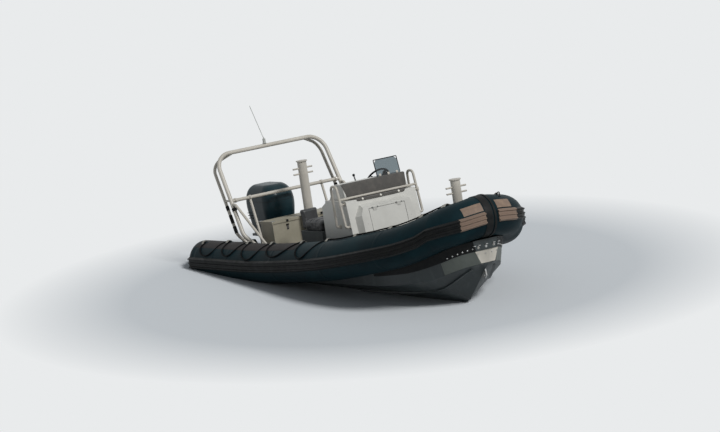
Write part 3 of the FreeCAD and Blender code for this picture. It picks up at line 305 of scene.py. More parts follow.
def canvas(name):
    """Woven acrylic canvas: dark grey-brown, matt, with crossed threads."""
    material, tree, shader, where = mottled(name, "#4A4845", "#575450", 0.12, (0.82, 0.95), 0.25,
                                            Sheen_Weight=0.25)
    # Threads are 1 mm apart in the real cloth, drawn at 6 mm so that they show
    along, across = (add(tree, "TexWave", {"Vector": where, "Scale": 52.0, "Distortion": 0.4},
                         bands_direction=way) for way in "YZ")
    cross = add(tree, "Math", {0: along.outputs["Fac"], 1: across.outputs["Fac"]}, operation="MULTIPLY")
    raise_grain(tree, shader, cross.outputs[0], 0.0005, 0.6)
    return material


def tinted_acrylic(name):
    """Smoked acrylic sheet, polished, with dull smears of 70 mm."""
    material, tree, shader = surface(name, Base_Color=linear("#7A868B"), IOR=1.49, Transmission_Weight=1.0)
    smears = speckle(tree, add(tree, "TexCoord").outputs["Object"], 14.0, 5.0)
    tree.links.new(ramp(tree, smears, 0.4, 0.8, 0.04, 0.2), shader.inputs["Roughness"])
    return material


def marine_vinyl(name):
    """Vinyl-coated seat cloth with a pressed leather grain."""
    material, tree, shader, where = mottled(name, "#17181A", "#232427", 0.15, (0.42, 0.6), Sheen_Weight=0.1)
    # The grain's cells are 1.5 mm in the real vinyl, drawn at 5 mm
    cells = add(tree, "TexVoronoi", {"Vector": where, "Scale": 200.0}, feature="DISTANCE_TO_EDGE")
    raise_grain(tree, shader, cells.outputs["Distance"], 0.0006, 0.5)
    return material


def gloss_cowl(name):
    """Painted and lacquered engine cowl: deep near-black with a thin clear coat."""
    return mottled(name, "#0F2329", "#152C32", 0.4, (0.32, 0.45), 0.15, Coat_Weight=0.08,
                   Coat_Roughness=0.15)[0]


def brushed_steel(name):
    """Stainless steel, brushed along X, with faint tea stains. The brush lines are drawn 1 mm wide."""
    material, tree, shader, where = mottled(name, "#B9BABA", "#97948E", 0.05, (0.28, 0.42), Metallic=1.0)
    fine = add(tree, "Mapping", {"Vector": where, "Scale": (60.0, 900.0, 900.0)})
    raise_grain(tree, shader, speckle(tree, fine.outputs[0], 1.0, 2.0), 0.0001, 0.3)
    return material


def braided_rope(name):
    """Braided polyester rope, black and matt: the plaits show as slanting ribs."""
    material, tree, shader, where = mottled(name, "#0A0B0C", "#151617", 0.06, (0.75, 0.9), 0.08)
    # Plaits come every 8 mm along the rope, which is 21 mm across
    ribs = add(tree, "TexWave", {"Vector": where, "Scale": 80.0, "Distortion": 1.0},
               bands_direction="DIAGONAL")
    raise_grain(tree, shader, ribs.outputs["Fac"], 0.0008, 0.7)
    return material


def dial_card(name):
    """Printed dial behind glass: matt grey-black."""
    return mottled(name, "#2A2D2F", "#303335", 0.03, (0.5, 0.6), Coat_Weight=0.4, Coat_Roughness=0.08)[0]


def display_glass(name):
    """Cover glass over a dark display that is switched off."""
    return mottled(name, "#0C0F12", "#12161A", 0.1, (0.08, 0.16), Coat_Weight=1.0, Coat_Roughness=0.03)[0]


def gel_plastic(name, base, patch):
    """Moulded coloured plastic, satin, with a grain of 2 mm."""
    material, tree, shader, where = mottled(name, base, patch, 0.03, (0.35, 0.5))
    raise_grain(tree, shader, speckle(tree, where, 500.0, 2.0), 0.0002, 0.4)
    return material


def cast_zinc(name):
    """Cast zinc anode, dull, with pits of 4 mm."""
    material, tree, shader, where = mottled(name, "#8E9194", "#6E7173", 0.02, (0.55, 0.75), Metallic=1.0)
    pits = add(tree, "TexVoronoi", {"Vector": where, "Scale": 260.0})
    raise_grain(tree, shader, pits.outputs["Distance"], 0.0008, 0.6)
    return material


MATERIALS = {
    "tube_fabric": coated_fabric("coated_fabric"),
    "strake_rubber": strake_rubber("moulded_rubber"),
    # Pads in tan tones: a painted warm highlight of sunlight on the rubber, over its own lighter colour
    "pad_rubber": moulded_rubber("pad_rubber", PAD_HIGHLIGHT_TAN, "#8C7968", (0.5, 0.7)),
    "hull_paint": hull_paint("hull_paint", "#182123", "#212A2B"),
    "doubler_paint": hull_paint("doubler_paint", "#444944", "#505550"),
    "deck_paint": non_slip_paint("non_slip_paint"),
    "frame_paint": sprayed_paint("frame_paint", "#AAA59B", "#B6B1A7", (0.35, 0.5), "#7B7A72", 0.35),
    "console_paint": sprayed_paint("console_paint", "#C1C0BA", "#B5B4AE", (0.35, 0.5), "#83827B", 0.25),
    "canvas": canvas("canvas"),
    "screen": tinted_acrylic("tinted_acrylic"),
    "wheel_rubber": moulded_rubber("wheel_rubber", "#131415", "#1D1E20", (0.4, 0.55)),
    "black_plastic": moulded_rubber("moulded_plastic", "#161719", "#1E2022", (0.3, 0.45), 0.002),
    "seat_vinyl": marine_vinyl("marine_vinyl"),
    "cowl_paint": gloss_cowl("gloss_cowl"),
    "engine_paint": sprayed_paint("engine_paint", "#182226", "#212B2F", (0.35, 0.5), "#5A5D60", 0.3),
    "locker_paint": sprayed_paint("locker_paint", "#8B8676", "#9A9484", (0.45, 0.6), "#6E6A5E", 0.3),
    "steel": brushed_steel("brushed_steel"),
    "braided_rope": braided_rope("braided_rope"),
    "saddle_rubber": moulded_rubber("saddle_rubber", "#8F8C84", "#A09D95", (0.55, 0.7)),
    # Brownish-black rubber of the strips along the tubes' crests
    "crest_strip_rubber": moulded_rubber("crest_strip_rubber", "#2B2929", "#373433", (0.6, 0.8)),
    "antenna_fibreglass": gel_plastic("antenna_fibreglass", "#A3A5A1", "#979995"),
    "snap_enamel": gel_plastic("snap_enamel", "#D5D2C8", "#C6C3B9"),
    "gauge_face": dial_card("dial_card"),
    "display_glass": display_glass("display_glass"),
    "signal_red": gel_plastic("signal_red", "#A3201A", "#8E1C17"),
    "zinc": cast_zinc("cast_zinc"),
}


def finish_nodes():
    """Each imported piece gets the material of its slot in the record, and the whip its own grey."""
    for row in frame["record"]["subparts"]:
        name = "antenna_fibreglass" if row["node"] == "antenna" else row["material_slot"]
        for place in NODES[row["node"]].material_slots:
            place.link = "OBJECT"
            place.material = MATERIALS[name]


# Making and placing new pieces
def placed(name, data, slot, body="boat", finish=None):
    """Object for a piece's mesh or curve, on its body, in the finish of its slot or a given one."""
    data.materials.append(MATERIALS[finish or slot])
    piece = stood(name, data)
    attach(piece, body)
    return piece


def finished(name, bm, slot, body="boat", finish=None, sharp=35.0, closed=True):
    """Piece from a bmesh, with its doubles merged and its faces turned outwards."""
    bmesh.ops.remove_doubles(bm, verts=bm.verts, dist=1e-5)
    if closed:
        bmesh.ops.recalc_face_normals(bm, faces=bm.faces)
    mesh = bpy.data.meshes.new(name)
    bm.to_mesh(mesh)
    bm.free()
    mesh.shade_smooth()
    mesh.set_sharp_from_angle(angle=radians(sharp))
    return placed(name, mesh, slot, body, finish)


def turned(bm, profile, at, axis, steps):
    """Turned form added to a bmesh. The profile's rows are radius and height along the axis, in mm."""
    at, axis = Vector(at), Vector(axis).normalized()
    stand = Matrix.Translation(at) @ axis.to_track_quat("Z", "Y").to_matrix().to_4x4()
    verts = [bm.verts.new(stand @ Vector((r / 1000, 0, h / 1000))) for r, h in profile]
    edges = [bm.edges.new(pair) for pair in zip(verts, verts[1:])]
    bmesh.ops.spin(bm, geom=verts + edges, cent=at, axis=axis, angle=tau, steps=steps, use_merge=True)


def block(bm, size, at, turn=Matrix(), bevel=3, segments=2):
    """Box with rounded edges added to a bmesh, its size and bevel in mm."""
    stand = Matrix.Translation(at) @ turn @ Matrix.Diagonal((*(side / 1000 for side in size), 1.0))
    verts = bmesh.ops.create_cube(bm, size=1.0, matrix=stand)["verts"]
    edges = list({edge for vert in verts for edge in vert.link_edges})
    bmesh.ops.bevel(bm, geom=edges, offset=bevel / 1000, affect="EDGES", segments=segments, profile=0.5,
                    material=-1)


def strand(name, points, radius, slot, body="boat", finish=None, closed=False):
    """Round cord, bead or bent rod along one smooth spline."""
    data = bpy.data.curves.new(name, "CURVE")
    data.dimensions = "3D"
    data.bevel_depth = radius
    data.bevel_resolution = 3
    data.resolution_u = 10
    data.use_fill_caps = True
    spline = data.splines.new("NURBS")
    spline.points.add(len(points) - 1)
    for knot, point in zip(spline.points, points):
        knot.co = (*point, 1.0)
    spline.order_u = 3
    spline.use_endpoint_u = not closed
    spline.use_cyclic_u = closed
    return placed(name, data, slot, body, finish)


def skin_of(*names):
    """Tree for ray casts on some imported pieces."""
    bm = bmesh.new()
    for name in names:
        bm.from_mesh(NODES[name].data)
    tree = BVHTree.FromBMesh(bm)
    bm.free()
    return tree


def land(tree, start, way):
    """Where a ray from a point first meets a surface, and the surface's normal there."""
    spot, normal, _, _ = tree.ray_cast(Vector(start), Vector(way))
    return spot, normal


def seated(bm, tree, start, way, *profiles):
    """Turned fittings added to a bmesh, square to a surface where a ray meets it."""
    spot, normal = land(tree, start, way)
    for profile, steps in profiles:
        turned(bm, profile, spot, normal, steps)


def ring(inner, outer, half, edge, drop):
    """Profile of a ring with chamfered outer edges."""
    return [(inner, -half), (outer - edge, -half), (outer, drop - half), (outer, half - drop),
            (outer - edge, half), (inner, half), (inner, -half)]


# Side tubes: centre line as x, y from the centre plane, z
TUBE_R = 0.28
TUBE_LINE = [
    (-0.35, 1.09, 0.24), (1.0, 1.09, 0.24), (1.5, 1.09, 0.246), (2.0, 1.09, 0.265), (2.5, 1.09, 0.294),
    (3.0, 1.09, 0.328), (3.4, 1.078, 0.363), (3.8, 1.043, 0.41), (4.1, 1.001, 0.45), (4.4, 0.932, 0.494),
    (4.7, 0.823, 0.542), (4.95, 0.665, 0.618), (5.1, 0.566, 0.676), (5.3, 0.436, 0.748), (5.4, 0.28, 0.783),
]
TUBES = ["tube_aft_starboard", "tube_aft_port", "tube_fore_starboard", "tube_fore_port"]
TUBE_SKIN = skin_of(*TUBES)
TUBE_AND_STRAKE = skin_of(*TUBES, "rub_strake_starboard", "rub_strake_port")
# Sheets on each tube: name, finish, places as x and turn from the crest, length and width, lift,
# thickness and bevel, and steps of the mesh
TUBE_SHEETS = [
    # Brownish-black strip along each crest, darker and warmer than the fabric
    ("crest_strip", "crest_strip_rubber", [(1.13, 0.06)], (2.86, 0.36), 0.0003, (0.0012, 0.0005), (70, 16)),
    ("seam_tapes", "tube_fabric", [(x, 0.0) for x in (-0.3, 0.72, 1.98, 3.3, 4.52)],
     (0.06, tau * TUBE_R), 0.0, (0.0009, 0.0004), (3, 90)),
    ("side_panel", "tube_fabric", [(0.06, 1.0)], (0.56, 0.2), 0.0003, (0.001, 0.0005), (14, 10)),
]
VALVE_PLACES, VALVE_TURN = (0.9, 2.75, 4.2), -0.95
VALVE_BODY = [(0, 14), (17, 14), (19, 12), (19, 6), (30, 5), (35, 3), (36, -4), (0, -4)]
VALVE_CAP = [(0, 21), (12, 20.5), (13, 12), (0, 12)]


def on_tube(side, x, turn, lift=0.0, tree=TUBE_SKIN):
    """Point on a side tube at a turn from its crest towards the outside, lifted off it."""
    for (x0, y0, z0), (x1, y1, z1) in zip(TUBE_LINE, TUBE_LINE[1:]):
        if x <= x1:
            break
    share = (x - x0) / (x1 - x0)
    centre = Vector((x, side * (y0 + (y1 - y0) * share), z0 + (z1 - z0) * share))
    out = Vector((0, side * sin(turn), cos(turn)))
    spot, normal = land(tree, centre + out * 2 * TUBE_R, -out)
    return spot + normal * lift, normal


def laid(bm, side, x, turn, size, lift, steps, rise=0.0, oval=False):
    """Sheet laid on a side tube, added to a bmesh: its length along the tube, its width round it."""
    length, width = size
    verts = bmesh.ops.create_grid(bm, x_segments=steps[0], y_segments=steps[1], size=1.0)["verts"]
    if side == STARBOARD:
        faces = list({face for vert in verts for face in vert.link_faces})
        bmesh.ops.reverse_faces(bm, faces=faces)
    for vert in verts:
        u, v = vert.co.x, vert.co.y
        bulge = rise * (1 - v * v) ** 2
        if oval:
            u, v = u * sqrt(1 - v * v / 2), v * sqrt(1 - u * u / 2)
        vert.co = on_tube(side, x + u * length / 2, turn + v * width / 2 / TUBE_R, lift + bulge)[0]


def thicken(piece, thickness, bevel=0.0):
    """Gives a laid sheet its thickness, outwards."""
    wall = piece.modifiers.new("thickness", "SOLIDIFY")
    wall.thickness = thickness
    wall.offset = 1.0
    if bevel:
        edges = piece.modifiers.new("edges", "BEVEL")
        edges.width = bevel
        edges.segments = 2


def make_tube_fittings():
    """Brownish-black strips along the tubes' crests, tapes over their seams, bare side panels and inflation
    valves.
    """
    for side, hand in HANDS.items():
        for name, finish, places, size, lift, wall, steps in TUBE_SHEETS:
            sheets = bmesh.new()
            for x, turn in places:
                laid(sheets, side, x, turn, size, lift, steps)
            thicken(finished(name + "_" + hand, sheets, "tube_fabric", finish=finish, closed=False), *wall)
        valves = bmesh.new()
        for x in VALVE_PLACES:
            spot, way = on_tube(side, x, VALVE_TURN)
            turned(valves, VALVE_BODY, spot, way, 28)
            turned(valves, VALVE_CAP, spot, way, 6)
        finished("inflation_valves_" + hand, valves, "black_plastic")


# Lifelines: rope on each side, held to the tube's crest by patches. Rows are x and the turn from the crest.
ROPE_R = 0.0105
ROPE_LIFT = 0.004
ROPE_HOLDS = [(-0.17, 0.28), (0.42, 0.0), (1.0, 0.0), (1.68, 0.0), (2.53, 0.0), (3.22, 0.0), (3.9, 0.0),
              (4.58, 0.0), (5.0, -0.05), (5.28, -0.1)]
ROPE_ROUTE = [
    (-0.22, 0.22), (-0.17, 0.26), (-0.11, 0.36), (-0.12, 0.72), (-0.04, 1.06), (0.12, 1.2), (0.27, 1.02),
    (0.35, 0.46), (0.38, -0.02), (0.46, -0.04), (0.515, 0.3), (0.52, 0.75), (0.62, 1.06), (0.78, 1.12),
    (0.89, 0.8), (0.94, 0.38), (0.965, -0.02), (1.04, -0.04), (1.1, 0.3), (1.1, 0.8), (1.2, 1.18),
    (1.38, 1.26), (1.52, 0.95), (1.62, 0.42), (1.645, -0.02), (1.72, -0.04), (1.78, 0.3), (1.79, 0.72),
    (1.9, 1.04), (2.1, 1.12), (2.32, 0.78), (2.46, 0.36), (2.495, -0.02), (2.57, -0.04), (2.63, 0.3),
    (2.63, 0.8), (2.72, 1.18), (2.86, 1.26), (3.0, 0.95), (3.13, 0.42), (3.185, 0.0), (3.26, -0.02),
    (3.42, 0.14), (3.6, 0.22), (3.76, 0.15), (3.87, 0.02), (3.94, 0.02), (4.1, 0.14), (4.26, 0.19),
    (4.42, 0.12), (4.55, 0.02), (4.62, 0.02), (4.74, 0.08), (4.88, 0.03), (4.97, -0.04), (5.04, -0.04),
    (5.12, -0.02), (5.2, -0.06), (5.27, -0.1), (5.3, -0.11),
]
PATCH, PATCH_WALL = (0.17, 0.13), (0.0022, 0.0006)
SADDLE, SADDLE_WALL = (0.05, 0.1), (0.0035, 0.0008)


def make_lifelines():
    """Ropes, their round patches and the saddles that arch over them."""
    for side, hand in HANDS.items():
        points = [on_tube(side, x, turn, ROPE_R + ROPE_LIFT, TUBE_AND_STRAKE)[0] for x, turn in ROPE_ROUTE]
        rope = strand("lifeline_" + hand, points, ROPE_R, "canvas", finish="braided_rope")
        pads, saddles = bmesh.new(), bmesh.new()
        for x, turn in ROPE_HOLDS:
            laid(pads, side, x, turn, PATCH, 0.0008, (10, 8), oval=True)
            laid(saddles, side, x, turn, SADDLE, 0.002, (4, 14), rise=2 * ROPE_R + ROPE_LIFT)
        pads = finished("lifeline_patches_" + hand, pads, "tube_fabric", closed=False)
        thicken(pads, *PATCH_WALL)
        saddles = finished("lifeline_saddles_" + hand, saddles, "pad_rubber", finish="saddle_rubber",
                           closed=False)
        thicken(saddles, *SADDLE_WALL)


# Bow. Rays are cast from outside it to find where its rivets and bolts sit.
RIVETS = [(5.18, 0.449, 0.316), (5.249, 0.406, 0.339), (5.303, 0.355, 0.359), (5.353, 0.306, 0.376),
          (5.405, 0.256, 0.391), (5.457, 0.205, 0.403)]
RIVET = [(0, 7), (6, 6.2), (10.5, 3), (12, -1), (0, -1)]
STEM_BOLT = [(0, 11), (10.5, 11), (11.5, 9), (11.5, 2)]
STEM_WASHER = [(11.5, 3), (18, 2.5), (18.5, -1), (0, -1)]
BRACKET_BOLT = [(0, 8), (8.5, 8), (9.5, 6), (9.5, -1), (0, -1)]
BEFORE_STEM = 5.7
NOSE_LOOP_FROM = (5.503, 0.292, 2.0)
NOSE_LOOP = [(-0.035, 0.001), (-0.03, 0.03), (-0.008, 0.046), (0.016, 0.042), (0.03, 0.024), (0.035, 0.001)]
NOSE_LOOP_R = 0.007
NOSE_LOOP_FOOT = [(0, 12), (9, 11), (16, 6), (22, 1), (22, -3), (0, -3)]


def make_bow_fittings():
    """Rivets of the topsides, bolts of the stem and its bracket, and the loop on the nose with its feet."""
    bow = skin_of("hull_bottom", "hull_topsides", "topside_doublers", "tube_flanges", "stem_bracket")
    heads = bmesh.new()
    for x, y, z in RIVETS:
        for side in HANDS:
            way = Vector((-0.7, -side * 0.68, 0.0)).normalized()
            seated(heads, bow, Vector((x, side * y, z)) - way * 0.1, way, (RIVET, 14))
    for y in (-0.126, 0.0, 0.126):
        seated(heads, bow, (BEFORE_STEM, y, 0.412), -AHEAD, (STEM_BOLT, 6), (STEM_WASHER, 20))
    for y in (-0.15, -0.05, 0.05, 0.15):
        seated(heads, bow, (BEFORE_STEM, y, 0.33), -AHEAD, (BRACKET_BOLT, 6))
    finished("bow_rivets_and_bolts", heads, "steel")
    crest, way = land(TUBE_SKIN, NOSE_LOOP_FROM, -UP)
    across = way.cross(AHEAD).normalized()
    along = across.cross(way)
    points = [crest + along * reach + way * rise for reach, rise in NOSE_LOOP]
    strand("nose_loop", points, NOSE_LOOP_R, "canvas", finish="braided_rope")
    feet = bmesh.new()
    for reach in (-0.035, 0.035):
        turned(feet, NOSE_LOOP_FOOT, crest + along * reach, way, 20)
    finished("nose_loop_feet", feet, "black_plastic")


# Console: the hood's face as x and z from its top down, with the half width of the cover at each row
HOOD_FACE = [(2.8, 1.2975), (2.826, 1.2975), (2.8375, 1.292), (2.893, 1.153), (2.8945, 1.09), (2.9, 1.0785),
             (2.915, 1.0765), (2.95, 1.076), (2.984, 1.0755), (2.991, 1.071), (2.9955, 1.04)]
COVER_HALF = [0.528, 0.528, 0.526, 0.496, 0.484, 0.48, 0.474, 0.452, 0.41, 0.4, 0.385]
COVER_CREASE, COVER_PUCKER = 0.0022, 0.002
COVER_SNAP = [(0, 8), (9, 7.5), (15, 4), (17, 0), (0, 0)]


def make_console_cover():
    """Canvas stretched over the hood's front and the ledge under it, with a roped hem and three snaps."""
    bm = bmesh.new()
    rows = len(HOOD_FACE)
    verts = bmesh.ops.create_grid(bm, x_segments=rows - 1, y_segments=60, size=1.0)["verts"]
    for vert in verts:
        row = round((vert.co.x + 1) / 2 * (rows - 1))
        across = vert.co.y
        x, z = HOOD_FACE[row]
        crease = COVER_CREASE * noise.noise(Vector((across * 4.0, x * 9.0, z * 7.0)))
        slack = (crease + COVER_PUCKER * sin(across * 26 + z * 30) ** 2) * min(row, 4) / 4
        vert.co = Vector((x + slack, across * COVER_HALF[row], z + 0.3 * abs(slack)))
    bmesh.ops.reverse_faces(bm, faces=bm.faces)
    cover = finished("console_canvas_cover", bm, "canvas", sharp=80.0, closed=False)
    thicken(cover, 0.0016)
    smooth = cover.modifiers.new("smooth", "SUBSURF")
    smooth.levels = smooth.render_levels = 1
    rim = list(zip(HOOD_FACE, COVER_HALF))[2:]
    edge = [Vector((x + 0.002, STARBOARD * half, z)) for (x, z), half in rim]
    edge += [Vector((x + 0.002, PORT * half, z)) for (x, z), half in reversed(rim)]
    hem = strand("console_cover_hem", edge, 0.0032, "canvas")
    snaps = bmesh.new()
    for y in (-0.303, 0.0, 0.3):
        turned(snaps, COVER_SNAP, (2.9945, y, 1.064), (1, 0, 0.3), 24)
    snaps = finished("console_cover_snaps", snaps, "steel", finish="snap_enamel")
    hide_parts("console_cover")


# Windscreen: how far its bead's corners are rounded, and its brackets' lean
BEAD_BEND = 0.02
BRACKET_LEAN = -0.209
SCREEN_BOLT = [(0, 8), (5, 7.5), (8, 4), (8, 0)]


def make_windscreen_fittings():
    """Rubber bead on the acrylic's edge and three brackets at its foot."""
    low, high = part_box("windscreen")
    foot_x, top_x = high[0] - 0.004, low[0] + 0.004
    inner, outer, foot_z, top_z = low[1], high[1], low[2] + 0.008, high[2]
    lean = (foot_x - top_x) / (top_z - foot_z) * BEAD_BEND
    bead = [Vector((foot_x, inner, foot_z))]
    for y, way in ((inner, 1), (outer, -1)):
        corner = Vector((top_x, y, top_z))
        bend = [corner + Vector((lean, 0, -BEAD_BEND)), corner, corner + Vector((0, way * BEAD_BEND, 0))]
        bead += bend[::way]
    bead.append(Vector((foot_x, outer, foot_z)))
    strand("windscreen_bead", bead, 0.0065, "black_plastic")
    brackets, bolts = bmesh.new(), bmesh.new()
    for y in (inner + 0.05, (inner + outer) / 2, outer - 0.05):
        block(brackets, (34, 34, 4), (foot_x + 0.017, y, 1.2925))
        block(brackets, (4, 34, 36), (foot_x + 0.002, y, 1.3105), Matrix.Rotation(BRACKET_LEAN, 4, "Y"))
        turned(bolts, SCREEN_BOLT, (foot_x + 0.02, y, 1.294), UP, 14)
    finished("windscreen_brackets", brackets, "frame_paint")
    finished("windscreen_bolts", bolts, "steel")


# Dash: its foot, its slope up and the way it faces, then the profiles of what sits on it
DASH_FOOT = Vector((2.43, 0.0, 1.04))
DASH_UP = Vector((0.21, 0.0, 0.25)).normalized()
DASH_OUT = Vector((-0.25, 0.0, 0.21)).normalized()
DASH_TURN = Matrix((DASH_OUT, Vector((0, 1, 0)), DASH_UP)).transposed().to_4x4()
GAUGE_RIM = [(39, 3), (41, 12), (46, 13), (49, 9), (50, -2), (36, -2), (36, 2), (39, 3)]
GAUGE_FACE = [(0, 4), (38, 4), (38, -1), (0, -1)]
KILL_SWITCH = [(0, 22), (11, 21), (13, 17), (11, 8), (18, 6), (20, 0), (0, 0)]
COMPASS_AT = (2.7, 0.31, 1.29)
COMPASS_RIM = [(58, 0), (56, 14), (50, 22), (46, 24)]
COMPASS_DOME = [(46, 22), (45, 34), (38, 50), (24, 61), (10, 65), (0, 65.5)]


def on_dash(y, up, out=0.0):
    """Point on the dash at a distance up its slope, or out from it."""
    return DASH_FOOT + Vector((0, y, 0)) + DASH_UP * up + DASH_OUT * out


def dial_bar(bm, size, middle, degrees, reach, bevel):
    """Tick or needle of a gauge, turned clockwise from upright and set off from the dial's middle."""
    turn = DASH_TURN @ Matrix.Rotation(radians(degrees), 4, "X")
    block(bm, size, middle + turn.to_3x3() @ Vector((0, 0, reach)), turn, bevel)


def make_dash():
    """Blank plotter, two round gauges, a row of switches, a kill-cord switch and a compass."""
    cases, glass, faces, marks = bmesh.new(), bmesh.new(), bmesh.new(), bmesh.new()
    block(cases, (30, 300, 200), on_dash(-0.31, 0.19, 0.012), DASH_TURN, 8, 3)
    block(glass, (4, 235, 165), on_dash(-0.332, 0.19, 0.0275), DASH_TURN, 1.5)
    for up in (0.12, 0.15, 0.18, 0.21, 0.24):
        block(cases, (8, 26, 16), on_dash(-0.183, up + 0.01, 0.029), DASH_TURN, 3)
    for y, up in ((0.07, 0.245), (0.07, 0.115)):
        at = on_dash(y, up)
        turned(cases, GAUGE_RIM, at, DASH_OUT, 40)
        turned(faces, GAUGE_FACE, at, DASH_OUT, 40)
        for tick in range(9):
            dial_bar(marks, (1, 1.8, 8), at + DASH_OUT * 0.0045, -120 + 30 * tick, 0.031, 0.3)
        dial_bar(marks, (1, 2, 26), at + DASH_OUT * 0.0065, -75, 0.01, 0.4)
    for index in range(6):
        y = -0.43 + 0.045 * index
        block(cases, (6, 30, 34), on_dash(y, 0.045, 0.003), DASH_TURN, 2)
        block(cases, (10, 14, 22), on_dash(y, 0.045, 0.008), DASH_TURN @ Matrix.Rotation(0.22, 4, "Y"))
    finished("dash_cases", cases, "black_plastic")
    finished("plotter_screen", glass, "screen", finish="display_glass")
    finished("gauge_faces", faces, "black_plastic", finish="gauge_face")
    finished("gauge_marks", marks, "steel", finish="snap_enamel")
    kill = bmesh.new()
    turned(kill, KILL_SWITCH, on_dash(0.0, 0.04), DASH_OUT, 24)
    finished("kill_switch", kill, "black_plastic", finish="signal_red")
    compass = bmesh.new()
    turned(compass, COMPASS_RIM, COMPASS_AT, UP, 36)
    turned(compass, COMPASS_DOME, COMPASS_AT, UP, 36)
    finished("compass", compass, "black_plastic")


# Rails, door and panels of the console
CLAMP_X, CLAMP_Y, CLAMP_Z, CLAMP_REACH = 2.9395, 0.579, 1.03, 0.061
CLAMP_BASE = [(0, 0), (27, 0), (29, 3), (27, 7), (13.5, 8), (13.5, 50), (0, 50)]
CLAMP_RING = ring(18.5, 24.5, 24, 1, 3)
CLAMP_NUT = [(0, 83), (11, 83), (13.5, 80), (13.5, 60), (0, 60)]
RAIL_RUN = Vector((-0.188, 0, 0.982))
FOOT_PAD_XS, FOOT_PAD_Y, FOOT_PAD_Z = (2.75, 3.008), 0.5795, 0.712
FOOT_PAD = [(0, 10), (22, 10), (28, 7), (34, 1), (34, 0), (0, 0)]
FOOT_PAD_SCREW = [(0, 11), (3.5, 10.5), (5, 6), (5, 2)]
BEFORE_LOCKER = 3.6
LATCH = [(0, 6), (20, 6), (24, 3), (25, -1), (0, -1)]
PANEL_SCREW = [(0, 3), (4.5, 2.5), (6.5, 0.3), (6.5, -1)]


def make_console_fittings():
    """Clamps and foot pads of the side rails, latches of the locker's door, and the panel's screws."""
    front = skin_of("console_locker", "locker_door")
    clamps, bolts = bmesh.new(), bmesh.new()
    for side in HANDS:
        at = Vector((CLAMP_X, side * CLAMP_Y, CLAMP_Z))
        out = Vector((0, side, 0))
        turned(clamps, CLAMP_BASE, at, out, 24)
        turned(clamps, CLAMP_RING, at + out * CLAMP_REACH, RAIL_RUN, 28)
        turned(clamps, CLAMP_NUT, at, out, 20)
        for x in FOOT_PAD_XS:
            turned(clamps, FOOT_PAD, (x, side * FOOT_PAD_Y, FOOT_PAD_Z), out, 28)
            for dx, dz in ((-0.022, 0), (0.022, 0), (0, -0.022), (0, 0.022)):
                turned(bolts, FOOT_PAD_SCREW, (x + dx, side * FOOT_PAD_Y, FOOT_PAD_Z + dz), out, 10)
    finished("rail_clamps", clamps, "frame_paint")
    latches = bmesh.new()
    for y in (-0.19, 0.19):
        spot, way = land(front, (BEFORE_LOCKER, y, 0.31), -AHEAD)
        turned(latches, LATCH, spot, way, 24)
        block(latches, (12, 36, 9), spot + way * 0.009, Matrix.Rotation(0.35, 4, "X"))
    finished("locker_latches", latches, "steel", body="door")
    for y in (-0.46, -0.36, 0.36, 0.46):
        for z in (0.16, 0.45, 0.72):
            spot, way = land(front, (BEFORE_LOCKER, y, z), -AHEAD)
            if spot is not None:
                turned(bolts, PANEL_SCREW, spot, way, 10)
    finished("console_screws", bolts, "steel")


# Seats: length, width and height of their pads in mm, their places, foam and sewn channels
SEAT_Y = 0.32
CUSHION, CUSHION_X, CUSHION_Z = (470, 318, 138), 1.815, 0.6735
BACKREST, BACKREST_X, BACKREST_Z = (295, 275, 75), 1.505, 0.757
BACKREST_TURN = Matrix.Rotation(-0.5 * pi - 0.16, 4, "Y")
PAD_VOXEL = 0.008
FOAM_PRESSURE, FOAM_STEPS = 4.0, 20
CHANNEL_HALF, CHANNEL_DEPTH = 0.011, 0.012
PIPING_R = 0.0042


def apply_modifiers(piece):
    """Makes the outcome of a piece's modifiers its own mesh."""
    depsgraph = bpy.context.evaluated_depsgraph_get()
    depsgraph.update()
    mesh = bpy.data.meshes.new_from_object(piece.evaluated_get(depsgraph))
    piece.modifiers.clear()
    piece.data = mesh


def remesh(piece, voxel):
    """Gives a closed form an even mesh fine enough for cloth."""
    grid = piece.modifiers.new("grid", "REMESH")
    grid.mode = "VOXEL"
    grid.voxel_size = voxel
    apply_modifiers(piece)


def swell(piece, cap):
    """Fills a fabric form with the pressure of its foam, each point moving no further than the cap."""
    before = [vert.co.copy() for vert in piece.data.vertices]
    cloth = piece.modifiers.new("foam", "CLOTH").settings
    cloth.quality = 5
    cloth.mass = 0.3
    cloth.use_pressure = True
    cloth.uniform_pressure_force = FOAM_PRESSURE
    cloth.effector_weights.gravity = 0.0
    for step in range(FOAM_STEPS):
        bpy.context.scene.frame_set(step + 1)
    apply_modifiers(piece)
    bpy.context.scene.frame_set(1)
    for vert, start in zip(piece.data.vertices, before):
        move = vert.co - start
        if move.length > cap:
            vert.co = start + move.normalized() * cap


def make_pad(name, size, at, turn, crown, channels, cap, node):
    """Stuffed pad in its own axes: length along X, width along Y, its crowned face up Z."""
    length, width, height = (measure / 1000 for measure in size)
    bm = bmesh.new()
    block(bm, size, (0, 0, 0), bevel=34, segments=3)
    pad = finished(name, bm, "seat_vinyl", sharp=180.0)
    remesh(pad, PAD_VOXEL)
    for vert in pad.data.vertices:
        u, v, w = vert.co.x / length * 2, vert.co.y / width * 2, vert.co.z / height * 2
        face = max(0.0, w) ** 2
        vert.co.z += crown * face * (1 - u * u) * (1 - v * v)
        pull = 0.007 * (1 - abs(w))
        vert.co.x -= pull * u * (1 - v * v)
        vert.co.y -= pull * v * (1 - u * u)
    swell(pad, cap)
    stand = Matrix.Translation(at) @ turn
    for vert in pad.data.vertices:
        face = max(0.0, vert.co.z / height * 2) ** 2
        for channel in channels:
            off = (vert.co.x - channel * length / 2) / CHANNEL_HALF
            vert.co.z -= CHANNEL_DEPTH * face * exp(-off * off)
        vert.co = stand @ vert.co
    soft = pad.modifiers.new("smooth", "SUBSURF")
    soft.levels = soft.render_levels = 1
    pad.data.shade_smooth()
    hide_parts(node)
    return pad, stand


